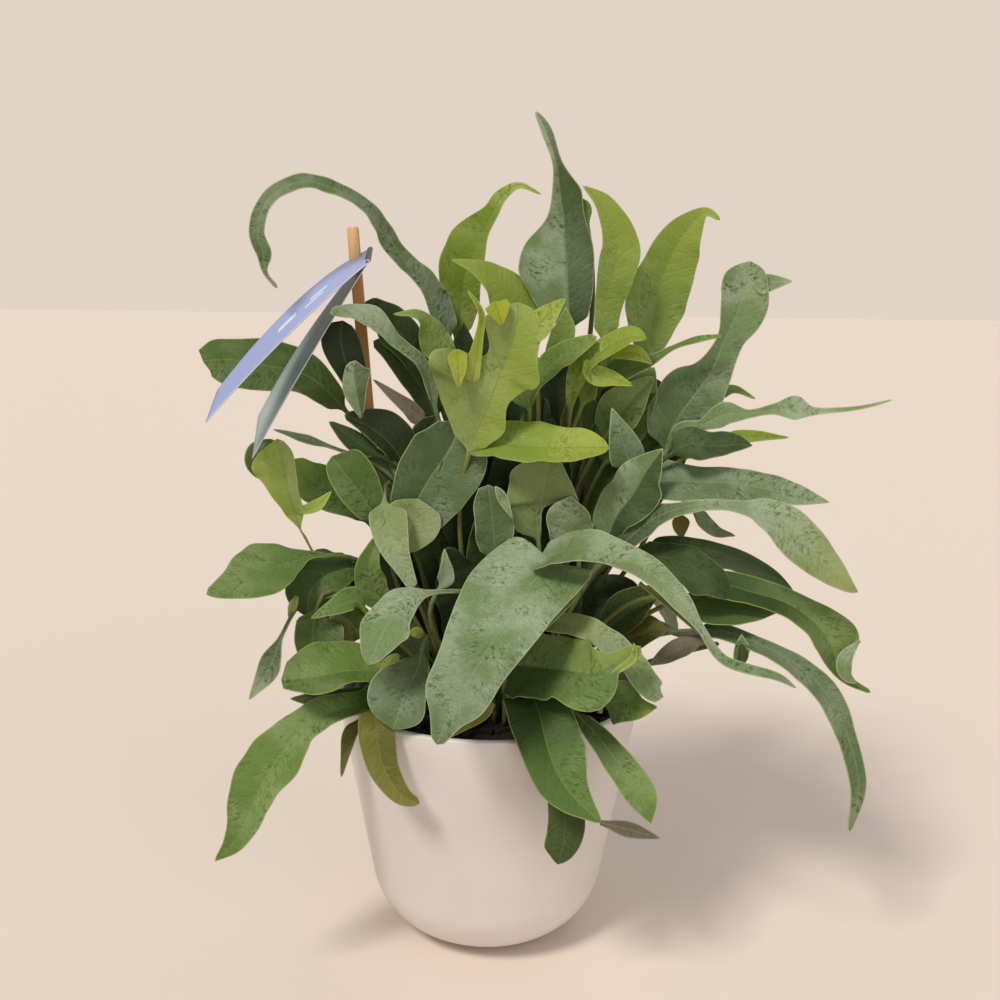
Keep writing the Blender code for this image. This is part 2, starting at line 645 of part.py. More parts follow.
def frond_rings(row):
    stalk_length, on_stalk = read_along(stalk_curve(foot_of(row), row["blade"]) + [row["blade"][0]])
    blade_length, on_blade = read_along(curve_through(row["blade"]))
    half = STALK_WIDTH / 2
    rings = []
    for k in range(STALK_RINGS):
        spot, ahead = on_stalk(stalk_length * k / STALK_RINGS)
        rings.append(cross_section(spot, ahead, facing(row, 0), half, half, 0, STALK_WIDTH, half))
    spans = len(row["right"]) - 1
    count = spans * max(1, round(blade_length / RING_SPACING / spans))
    for k in range(count + 1):
        share = k / count
        spot, ahead = on_blade(blade_length * share)
        end = min(1.0, 0.35 + 6.0 * (1 - share))
        left = max(half * 0.6, even(row["left"], share) * end)
        right = max(half * 0.6, even(row["right"], share) * end)
        if k == 0:
            left, right = half, half
        middle = STALK_WIDTH if k == 0 else BLADE_THICKNESS
        edge = half if k == 0 else EDGE_THICKNESS
        fold = 0 if k == 0 else row["fold"]
        rings.append(cross_section(spot, ahead, facing(row, share), left, right, fold, middle, edge))
    return rings


def add_frond(row):
    mesh = loft(row["name"], frond_rings(row))
    smooth(mesh, 60)
    add_object(row["name"], mesh, material(row["name"] + "_leaf", LEAF_COLOURS[row["colour"]], 0.55))


def main():
    clear_scene()
    cover_pot()
    nursery_pot()
    soil()
    rhizome("rhizome_left", 176, 224, 0.002)
    rhizome("rhizome_back", 60, 112, 0.003)
    rhizome("rhizome_right", -8, 38, 0.002)
    stake()
    tag()
    for row in FRONDS:
        add_frond(row)


main()
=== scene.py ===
import math

import bpy
import numpy as np
from mathutils import Matrix, Vector, noise
from mathutils.kdtree import KDTree


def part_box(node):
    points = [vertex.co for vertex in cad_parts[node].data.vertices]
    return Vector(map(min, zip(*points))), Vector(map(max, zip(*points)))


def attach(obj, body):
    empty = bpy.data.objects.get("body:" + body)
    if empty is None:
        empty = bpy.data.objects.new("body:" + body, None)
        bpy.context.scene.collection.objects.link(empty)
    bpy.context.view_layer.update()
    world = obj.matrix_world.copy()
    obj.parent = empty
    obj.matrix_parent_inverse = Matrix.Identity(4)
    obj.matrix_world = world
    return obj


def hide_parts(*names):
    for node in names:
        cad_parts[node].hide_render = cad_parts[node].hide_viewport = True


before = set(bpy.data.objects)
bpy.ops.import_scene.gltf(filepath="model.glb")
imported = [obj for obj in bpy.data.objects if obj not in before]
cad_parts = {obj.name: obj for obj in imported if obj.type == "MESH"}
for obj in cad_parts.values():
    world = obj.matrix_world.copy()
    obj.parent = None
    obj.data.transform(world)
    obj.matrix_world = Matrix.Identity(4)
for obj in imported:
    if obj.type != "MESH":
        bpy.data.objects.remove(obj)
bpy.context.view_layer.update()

# A blue star fern in a white cover pot. Metres, +Z up; the fronds, scales and chips are in millimetres.
MM = 0.001
bpy.context.scene.view_settings.view_transform = 'Standard'

# ------------------------------------------------------------------ colours and nodes

MATH, MIX, EASE = "ShaderNodeMath", "ShaderNodeMix", "ShaderNodeMapRange"
NOISE, CELLS, BUMP = "ShaderNodeTexNoise", "ShaderNodeTexVoronoi", "ShaderNodeBump"
READ, SPLIT, JOIN = "ShaderNodeAttribute", "ShaderNodeSeparateXYZ", "ShaderNodeCombineXYZ"
COLOUR = dict(output=2, data_type='RGBA')
SMOOTH = dict(interpolation_type='SMOOTHSTEP')


def linear(hex_colour):
    """The linear colour of an sRGB hex value such as '#7b9784'."""
    parts = [int(hex_colour[i:i + 2], 16) / 255 for i in (1, 3, 5)]
    return tuple(p / 12.92 if p <= 0.04045 else ((p + 0.055) / 1.055) ** 2.4 for p in parts) + (1.0,)


def add_node(tree, kind, inputs, output=0, **settings):
    """Adds a node with its settings and gives back one of its outputs. Each input, by name or number,
    is a value, a hex colour or another node's output."""
    node = tree.nodes.new(kind)
    for key, value in settings.items():
        setattr(node, key, value)
    for key, value in inputs.items():
        if isinstance(value, bpy.types.NodeSocket):
            tree.links.new(value, node.inputs[key])
        else:
            node.inputs[key].default_value = linear(value) if isinstance(value, str) else value
    return node.outputs[output]


def new_material(name, roughness=0.5, ior=1.45):
    """A material with a Principled shader: gives back the material, its tree and the shader."""
    made = bpy.data.materials.new(name)
    made.use_nodes = True
    shader = made.node_tree.nodes["Principled BSDF"]
    shader.inputs["Roughness"].default_value = roughness
    shader.inputs["IOR"].default_value = ior
    return made, made.node_tree, shader


# ------------------------------------------------------------------ finishes

# name: upper side, its darker flecks, its paler bloom, lower side, margin, midrib, stalk, tip,
# share of light that comes through, roughness
LEAF_KINDS = {
    "glaucous": ("#7a9160", "#48632f", "#a5b496", "#8b977c", "#b9c493",
        "#93a278", "#747a4c", "#97a05a", 0.12, 0.52),
    "deep": ("#36491f", "#263716", "#4a5e31", "#55683f", "#7c8c4c",
        "#5c6d40", "#5c5f36", "#66783a", 0.10, 0.50),
    # shade: painted shade, near-black leaves that stand in for the shadow deep in the clump
    "shade": ("#26361a", "#1b2812", "#344526", "#33431f", "#42522a",
        "#364624", "#3f4324", "#3a4a20", 0.05, 0.60),
    "green": ("#6d8a42", "#48672a", "#90a566", "#7f9360", "#b1bc6c",
        "#8ca05a", "#747743", "#9db048", 0.22, 0.50),
    "young": ("#97b043", "#6f8c2e", "#b7c96c", "#a3b45e", "#c5ca66",
        "#75863a", "#86844a", "#b9c038", 0.32, 0.46),
    "pale": ("#9bad62", "#7d9340", "#b3c280", "#a3b168", "#c3cb74",
        "#7c8847", "#86844a", "#9fb238", 0.30, 0.48),
    "olive": ("#686b2b", "#505422", "#84854a", "#7a7a46", "#979150",
        "#82824a", "#6d683c", "#94903a", 0.18, 0.52),
    "dry": ("#7d7660", "#665f49", "#8f8871", "#857e69", "#9a927a",
        "#8f8868", "#655d40", "#857b55", 0.06, 0.60),
}


def leaf_material(name):
    """A living fern blade: leathery skin that shows dark flecks and a pale waxy bloom drawn out
    along the side veins, a thin pale margin, and light that comes through the blade."""
    upper, fleck, bloom, under, margin, rib, stalk, tip, through, roughness = LEAF_KINDS[name]
    made, tree, shader = new_material(name + "_fern_blade", roughness, 1.36)
    blade = add_node(tree, READ, {}, "Vector", attribute_name="blade_mm")
    state = add_node(tree, READ, {}, "Vector", attribute_name="blade_state")
    across, along, inside = (add_node(tree, SPLIT, {0: blade}, axis) for axis in "XYZ")
    upper_side, tone = (add_node(tree, SPLIT, {0: state}, axis) for axis in "XZ")
    place = add_node(tree, "ShaderNodeTexCoord", {}, "Object")
    reach = add_node(tree, MATH, {0: across}, operation='ABSOLUTE')

    # the side veins run outwards and forwards; flow is stretched along them
    back = add_node(tree, MATH, {0: reach, 1: 0.6}, operation='MULTIPLY')
    run = add_node(tree, MATH, {0: along, 1: back}, operation='SUBTRACT')
    slow = add_node(tree, MATH, {0: across, 1: 0.62}, operation='MULTIPLY')
    flow = add_node(tree, JOIN, {0: slow, 1: run})
    patches = add_node(tree, NOISE, {"Vector": place, "Scale": 38.0, "Detail": 3.0})
    regions = add_node(tree, NOISE, {"Vector": place, "Scale": 75.0, "Detail": 2.0, "Roughness": 0.4})
    streaks = add_node(tree, NOISE, {"Vector": flow, "Scale": 0.62, "Detail": 5.0, "Roughness": 0.66,
                                     "Distortion": 0.9})
    fine = add_node(tree, NOISE, {"Vector": flow, "Scale": 2.4, "Detail": 3.0})
    veins = add_node(tree, CELLS, {"Vector": flow, "Scale": 0.19, "Randomness": 0.75}, "Distance",
                     feature='DISTANCE_TO_EDGE')
    net = add_node(tree, CELLS, {"Vector": flow, "Scale": 0.62, "Randomness": 0.95}, "Distance",
                   feature='DISTANCE_TO_EDGE')

    # broad pale and dark areas first, then flecks and bloom
    where_pale = add_node(tree, EASE, {0: patches, 1: 0.42, 2: 0.60, 4: 0.9}, **SMOOTH)
    skin = add_node(tree, MIX, {0: where_pale, 6: upper, 7: bloom}, **COLOUR)
    where_fleck = add_node(tree, EASE, {0: streaks, 1: 0.47, 2: 0.64}, **SMOOTH)
    fleck_area = add_node(tree, EASE, {0: regions, 1: 0.46, 2: 0.60, 3: 0.12}, **SMOOTH)
    flecks = add_node(tree, MATH, {0: where_fleck, 1: fleck_area}, operation='MULTIPLY')
    skin = add_node(tree, MIX, {0: flecks, 6: skin, 7: fleck}, **COLOUR)
    where_bloom = add_node(tree, EASE, {0: fine, 1: 0.56, 2: 0.70}, **SMOOTH)
    bloom_area = add_node(tree, EASE, {0: streaks, 1: 0.44, 2: 0.34, 4: 0.6}, **SMOOTH)
    specks = add_node(tree, MATH, {0: where_bloom, 1: bloom_area}, operation='MULTIPLY')
    skin = add_node(tree, MIX, {0: specks, 6: skin, 7: bloom}, **COLOUR)
    side_vein = add_node(tree, EASE, {0: veins, 1: 0.05, 2: 0.0, 4: 0.14}, **SMOOTH)
    skin = add_node(tree, MIX, {0: side_vein, 6: skin, 7: rib}, **COLOUR)
    netting = add_node(tree, EASE, {0: net, 1: 0.14, 2: 0.0, 4: 0.22}, **SMOOTH)
    skin = add_node(tree, MIX, {0: netting, 6: skin, 7: fleck}, **COLOUR)

    # ripening towards the tip colour, which positive values also use as painted light on leaves that should
    # look lit; below nothing, painted shade: a darker green that stands in for shadow
    ripe_and_painted_light_share = add_node(tree, EASE, {0: tone, 1: 0.0, 2: 1.0})
    skin = add_node(tree, MIX, {0: ripe_and_painted_light_share, 6: skin, 7: tip}, **COLOUR)
    painted_shade_share = add_node(tree, EASE, {0: tone, 1: 0.0, 2: -1.0})
    # painted shade colour: the flecks' green mixed towards near black
    dark = add_node(tree, MIX, {0: 0.55, 6: fleck, 7: "#1d2a12"}, **COLOUR)
    skin = add_node(tree, MIX, {0: painted_shade_share, 6: skin, 7: dark}, **COLOUR)

    lower = add_node(tree, MIX, {0: side_vein, 6: under, 7: fleck}, **COLOUR)
    skin = add_node(tree, MIX, {0: upper_side, 6: lower, 7: skin}, **COLOUR)
    on_rib = add_node(tree, EASE, {0: reach, 1: 0.6, 2: 0.15, 4: 0.4}, **SMOOTH)
    skin = add_node(tree, MIX, {0: on_rib, 6: skin, 7: rib}, **COLOUR)
    on_margin = add_node(tree, EASE, {0: inside, 1: 0.6, 2: 0.1, 4: 0.75}, **SMOOTH)
    skin = add_node(tree, MIX, {0: on_margin, 6: skin, 7: margin}, **COLOUR)
    on_stalk = add_node(tree, EASE, {0: along, 1: 5.0, 2: -8.0}, **SMOOTH)
    skin = add_node(tree, MIX, {0: on_stalk, 6: skin, 7: stalk}, **COLOUR)
    tree.links.new(skin, shader.inputs["Base Color"])

    rough = add_node(tree, EASE, {0: fine, 1: 0.3, 2: 0.7, 3: roughness - 0.07, 4: roughness + 0.12})
    tree.links.new(rough, shader.inputs["Roughness"])
    hollows = add_node(tree, EASE, {0: veins, 1: 0.0, 2: 0.22, 4: 0.3}, **SMOOTH)
    swell = add_node(tree, MATH, {0: streaks, 1: 0.6, 2: hollows}, operation='MULTIPLY_ADD')
    pores = add_node(tree, EASE, {0: net, 1: 0.0, 2: 0.25, 4: 0.12}, **SMOOTH)
    relief = add_node(tree, MATH, {0: swell, 1: pores}, operation='ADD')
    bump = add_node(tree, BUMP, {"Height": relief, "Strength": 0.5, "Distance": 0.001})
    tree.links.new(bump, shader.inputs["Normal"])

    lit = add_node(tree, MIX, {0: 0.45, 6: skin, 7: "#a3bf3a"}, **COLOUR)
    glow = add_node(tree, "ShaderNodeBsdfTranslucent", {"Color": lit})
    both = add_node(tree, "ShaderNodeMixShader", {0: through, 1: shader.outputs[0], 2: glow})
    tree.links.new(both, tree.nodes["Material Output"].inputs["Surface"])
    return made


def glaze_material():
    """Glazed ceramic with a satin finish: a soft highlight, faint pooling of the glaze and no grain."""
    made, tree, shader = new_material("white_satin_glaze", 0.34, 1.5)
    place = add_node(tree, "ShaderNodeTexCoord", {}, "Object")
    pooling = add_node(tree, NOISE, {"Vector": place, "Scale": 14.0, "Detail": 2.0})
    specks = add_node(tree, NOISE, {"Vector": place, "Scale": 900.0, "Detail": 2.0})
    share = add_node(tree, EASE, {0: pooling, 1: 0.3, 2: 0.7}, **SMOOTH)
    colour = add_node(tree, MIX, {0: share, 6: "#d8d0cc", 7: "#dfd8d4"}, **COLOUR)
    few = add_node(tree, EASE, {0: specks, 1: 0.66, 2: 0.80, 4: 0.25}, **SMOOTH)
    colour = add_node(tree, MIX, {0: few, 6: colour, 7: "#cfc6be"}, **COLOUR)
    tree.links.new(colour, shader.inputs["Base Color"])
    tree.links.new(add_node(tree, EASE, {0: pooling, 3: 0.30, 4: 0.42}), shader.inputs["Roughness"])
    height = add_node(tree, MATH, {0: specks, 1: 0.05, 2: pooling}, operation='MULTIPLY_ADD')
    bump = add_node(tree, BUMP, {"Height": height, "Strength": 0.25, "Distance": 0.0008})
    tree.links.new(bump, shader.inputs["Normal"])
    return made


def polypropylene_material():
    """Thermoformed black polypropylene: fine moulded grain, a dull sheen and pale dust."""
    made, tree, shader = new_material("black_polypropylene", 0.42, 1.49)
    place = add_node(tree, "ShaderNodeTexCoord", {}, "Object")
    grain = add_node(tree, NOISE, {"Vector": place, "Scale": 1600.0, "Detail": 2.0})
    dust = add_node(tree, NOISE, {"Vector": place, "Scale": 70.0, "Detail": 5.0})
    share = add_node(tree, EASE, {0: dust, 1: 0.50, 2: 0.75, 4: 0.35}, **SMOOTH)
    colour = add_node(tree, MIX, {0: share, 6: "#17181b", 7: "#3f3c38"}, **COLOUR)
    tree.links.new(colour, shader.inputs["Base Color"])
    tree.links.new(add_node(tree, EASE, {0: dust, 3: 0.32, 4: 0.62}), shader.inputs["Roughness"])
    bump = add_node(tree, BUMP, {"Height": grain, "Strength": 0.3, "Distance": 0.0002})
    tree.links.new(bump, shader.inputs["Normal"])
    return made


def bark_material(name, dark, light):
    """Composted pine bark: dry fibrous chips, darker where they are damp."""
    made, tree, shader = new_material(name, 0.92)
    place = add_node(tree, "ShaderNodeTexCoord", {}, "Object")
    damp = add_node(tree, NOISE, {"Vector": place, "Scale": 120.0, "Detail": 5.0})
    fibre = add_node(tree, NOISE, {"Vector": place, "Scale": 900.0, "Detail": 4.0})
    dry = add_node(tree, EASE, {0: damp, 1: 0.35, 2: 0.68}, **SMOOTH)
    colour = add_node(tree, MIX, {0: dry, 6: dark, 7: light}, **COLOUR)
    frayed = add_node(tree, EASE, {0: fibre, 1: 0.50, 2: 0.72, 4: 0.5}, **SMOOTH)
    colour = add_node(tree, MIX, {0: frayed, 6: colour, 7: light}, **COLOUR)
    tree.links.new(colour, shader.inputs["Base Color"])
    height = add_node(tree, MATH, {0: fibre, 1: 0.5, 2: damp}, operation='MULTIPLY_ADD')
    bump = add_node(tree, BUMP, {"Height": height, "Strength": 0.9, "Distance": 0.0012})
    tree.links.new(bump, shader.inputs["Normal"])
    return made


def rhizome_material():
    """Creeping fern stem: green-brown skin under papery rusty scales."""
    made, tree, shader = new_material("rusty_rhizome_scales", 0.85)
    place = add_node(tree, "ShaderNodeTexCoord", {}, "Object")
    scales = add_node(tree, CELLS, {"Vector": place, "Scale": 650.0, "Randomness": 0.8}, "Distance")
    patches = add_node(tree, NOISE, {"Vector": place, "Scale": 160.0, "Detail": 4.0})
    share = add_node(tree, EASE, {0: patches, 1: 0.35, 2: 0.65}, **SMOOTH)
    colour = add_node(tree, MIX, {0: share, 6: "#7d5129", 7: "#ad7f47"}, **COLOUR)
    edges = add_node(tree, MATH, {0: scales, 1: 0.6}, operation='MULTIPLY')
    colour = add_node(tree, MIX, {0: edges, 6: colour, 7: "#563519"}, **COLOUR)
    tree.links.new(colour, shader.inputs["Base Color"])
    bump = add_node(tree, BUMP, {"Height": scales, "Strength": 0.8, "Distance": 0.0008})
    tree.links.new(bump, shader.inputs["Normal"])
    return made


def birch_material():
    """Sawn birch, unvarnished: straight fine grain along the stake, a few darker lines, and a browner
    length below the tag, painted shade of the tag and the fronds."""
    made, tree, shader = new_material("sawn_birch", 0.68)
    place = add_node(tree, "ShaderNodeTexCoord", {}, "Object")
    stretch = add_node(tree, "ShaderNodeMapping", {"Vector": place, "Scale": (1.0, 1.0, 0.035)})
    grain = add_node(tree, NOISE, {"Vector": stretch, "Scale": 1400.0, "Detail": 4.0})
    bands = add_node(tree, NOISE, {"Vector": stretch, "Scale": 320.0, "Detail": 2.0})
    share = add_node(tree, EASE, {0: bands, 1: 0.35, 2: 0.65}, **SMOOTH)
    colour = add_node(tree, MIX, {0: share, 6: "#ddad77", 7: "#eac191"}, **COLOUR)
    lines = add_node(tree, EASE, {0: grain, 1: 0.52, 2: 0.70, 4: 0.5}, **SMOOTH)
    colour = add_node(tree, MIX, {0: lines, 6: colour, 7: "#b98850"}, **COLOUR)
    height = add_node(tree, SPLIT, {0: place}, "Z")
    # painted shade: browner below the tag, where the tag and fronds shade the stake
    painted_shade_below_tag = add_node(tree, EASE, {0: height, 1: 0.334, 2: 0.326, 4: 0.85}, **SMOOTH)
    colour = add_node(tree, MIX, {0: painted_shade_below_tag, 6: colour, 7: "#b0793f"}, **COLOUR)
    tree.links.new(colour, shader.inputs["Base Color"])
    bump = add_node(tree, BUMP, {"Height": grain, "Strength": 0.5, "Distance": 0.0003})
    tree.links.new(bump, shader.inputs["Normal"])
    return made


def card_material():
    """Coated card, offset printed: lavender outside with pale plain bars, slate inside that is darkest near
    the fold and paler further down, white core.
    """
    made, tree, shader = new_material("printed_card", 0.36)
    card = add_node(tree, READ, {}, "Vector", attribute_name="card_mm")
    across, down, face = (add_node(tree, SPLIT, {0: card}, axis) for axis in "XYZ")
    paper = add_node(tree, NOISE, {"Vector": card, "Scale": 2.5, "Detail": 3.0})
    outside_down_share = add_node(tree, EASE, {0: down, 1: 8.0, 2: 80.0}, **SMOOTH)
    outside = add_node(tree, MIX, {0: outside_down_share, 6: "#a4aed8", 7: "#98a3d0"}, **COLOUR)
    for start, end, low, high in CARD_BARS:
        shares = []
        for value, first, last in ((down, start, end), (across, low, high)):
            middle, half = (first + last) / 2, (last - first) / 2
            off = add_node(tree, MATH, {0: value, 1: middle}, operation='SUBTRACT')
            off = add_node(tree, MATH, {0: off}, operation='ABSOLUTE')
            shares.append(add_node(tree, EASE, {0: off, 1: half, 2: half - 0.25, 4: 0.9}))
        bar = add_node(tree, MATH, {0: shares[0], 1: shares[1]}, operation='MULTIPLY')
        outside = add_node(tree, MIX, {0: bar, 6: outside, 7: "#dfe4f4"}, **COLOUR)
    inside_down_share = add_node(tree, EASE, {0: down, 1: 38.0, 2: 90.0}, **SMOOTH)
    middle = add_node(tree, EASE, {0: down, 1: 6.0, 2: 30.0}, **SMOOTH)
    inside = add_node(tree, MIX, {0: middle, 6: "#2c3a48", 7: "#53676f"}, **COLOUR)
    inside = add_node(tree, MIX, {0: inside_down_share, 6: inside, 7: "#9fafae"}, **COLOUR)
    colour = add_node(tree, MIX, {0: face, 6: inside, 7: outside}, **COLOUR)
    edge = add_node(tree, MATH, {0: across}, operation='ABSOLUTE')
    edge = add_node(tree, EASE, {0: edge, 1: CARD_HALF - 0.45, 2: CARD_HALF - 0.2, 4: 0.7})
    colour = add_node(tree, MIX, {0: edge, 6: colour, 7: "#e3e6ee"}, **COLOUR)
    tree.links.new(colour, shader.inputs["Base Color"])
    tree.links.new(add_node(tree, EASE, {0: paper, 3: 0.34, 4: 0.48}), shader.inputs["Roughness"])
    return made


# ------------------------------------------------------------------ meshes

def add_piece(name, mesh, finish):
    piece = bpy.data.objects.new(name, mesh)
    bpy.context.scene.collection.objects.link(piece)
    mesh.materials.append(finish)
    mesh.shade_smooth()
    return piece


def mesh_from(name, points, faces):
    mesh = bpy.data.meshes.new(name)
    mesh.from_pydata(np.asarray(points).tolist(), [], faces)
    mesh.validate()
    return mesh


def give(mesh, name, values):
    """Stores a vector for each point of the mesh under a name that the materials read."""
    attribute = mesh.attributes.new(name, 'FLOAT_VECTOR', 'POINT')
    attribute.data.foreach_set("vector", np.ascontiguousarray(values, dtype=np.float32).ravel())


def tube_faces(rows, ring):
    """Faces of a tube of rows rings with ring points each, and flat strips that close both ends."""
    faces = []
    for r in range(rows - 1):
        low, high = r * ring, (r + 1) * ring
        for i in range(ring):
            j = (i + 1) % ring
            faces.append((low + i, low + j, high + j, high + i))
    half = ring // 2
    last = (rows - 1) * ring
    for i in range(half - 1):
        faces.append((i, ring - 1 - i, ring - 2 - i, i + 1))
        faces.append((last + i, last + i + 1, last + ring - 2 - i, last + ring - 1 - i))
    return faces


def smooth_run(values, steps=24):
    """A smooth run through evenly spaced values or points (Catmull-Rom), steps to each span."""
    run = np.array(values, float)
    if run.ndim == 1:
        run = run[:, None]
    if len(run) == 1:
        run = np.vstack([run, run])
    ends = np.vstack([2 * run[0] - run[1], run, 2 * run[-1] - run[-2]])
    t = (np.arange(steps) / steps)[:, None]
    parts = [0.5 * (2 * b + (c - a) * t + (2 * a - 5 * b + 4 * c - d) * t ** 2
                    + (3 * b - a - 3 * c + d) * t ** 3)
             for a, b, c, d in zip(ends, ends[1:], ends[2:], ends[3:])]
    return np.vstack(parts + [run[-1:]])


def read_run(values, shares):
    """Values of the smooth run at shares from 0 to 1."""
    run = smooth_run(values)
    at = np.linspace(0, 1, len(run))
    read = np.stack([np.interp(shares, at, run[:, i]) for i in range(run.shape[1])], 1)
    return read[:, 0] if read.shape[1] == 1 else read


def even_points(curve, spacing):
    """Points at even spacing along a curve, and their distances from its start. What follows a
    point's three coordinates is read along with them."""
    at = np.concatenate([[0], np.cumsum(np.linalg.norm(np.diff(curve[:, :3], axis=0), axis=1))])
    count = max(4, int(round(at[-1] / spacing)))
    want = np.linspace(0, at[-1], count + 1)
    return np.stack([np.interp(want, at, column) for column in curve.T], 1), want


def unit(vectors):
    return vectors / np.maximum(np.linalg.norm(vectors, axis=-1, keepdims=True), 1e-9)


# ------------------------------------------------------------------ fronds

UPWARD = (0, -0.5, 0.85)
FACING = (0, -0.9, 0.4)
TILTED = (0, -0.8, 0.6)
HALF_UP = (0, -0.7, 0.7)
RAISED = (0, -0.6, 0.8)
SOIL_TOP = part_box("soil")[1].z / MM
STALK_SPREAD = 0.42
STALK_MOST = 44.0
STALK_RADIUS = 1.1
ROW_SPACING = 1.5
STALK_SPACING = 5.0
BLEND_LENGTH = 9.0           # over this length the stalk flattens into the blade
LOBE_NECK = 2.0
HALF_THICK = 0.28
MARGIN_THICK = 0.14
LEAST_HALF = 0.3
TIP_HALF = 0.15
SWELL_PER_DEGREE = 0.003     # how much wider a rippled margin swells, for each degree of ripple
FINE_RIPPLE = 0.4            # a second, finer ripple: its height and length as shares of the first
FINE_PITCH = 0.43
RIB_TIP = 0.12               # how far the midrib stands out below at the tip
RIB_DEPTH = 0.75             # and how much further at the stalk
RIB_HALF = 0.8
STALK_SWELL_LENGTH = 120     # going down this far from the blade
STALK_SWELL = 0.25           # the stalk thickens by this share
ROD_REACH = 0.97             # how much of its half of the stalk's girth each skin covers
ANY_PHASE = 6.3
# places across one half of the blade, from the midrib to the margin
SIDE = np.array([0.0, 0.05, 0.16, 0.31, 0.47, 0.62, 0.76, 0.88, 0.96, 1.0])


def frond(name, kind, blade, face=(FACING,), fold=14, wave=(12, 22), tone=(0,), halftone=(0, 0),
          sweep=(0,), neck=BLEND_LENGTH, stalk=True, alone=False):
    """One frond. blade is its midrib from the top of the stalk to the tip, each point followed by the
    widths of the left and right halves there; face the way the upper side looks; fold the angle by
    which both halves rise from the midrib; wave the margins' ripple as an angle and a length; tone
    how much of the tip colour shows, for ripening and also as painted light, or how much painted
    shade, a darker green, if negative; halftone the painted light and shade that the left and right
    halves add to it, one half painted lighter or darker than the other; sweep the angle by which both
    halves lean back towards the stalk. face, tone and sweep are given at even steps. The stalk
    flattens into the blade over the neck. Without a stalk it is a lobe or a turned edge of another
    frond. alone is a leaf with no solid of its own."""
    blade = np.array(blade, float)
    return dict(name=name, kind=kind, blade=blade[:, :3], halves=blade[:, 3:], face=face, fold=fold,
                wave=wave, tone=tone, halftone=halftone, sweep=sweep,
                neck=neck if stalk else LOBE_NECK, stalk=stalk, alone=alone)


def leaf(name, kind, blade, **shape):
    """A frond with no solid of its own."""
    return frond(name, kind, blade, alone=True, **shape)
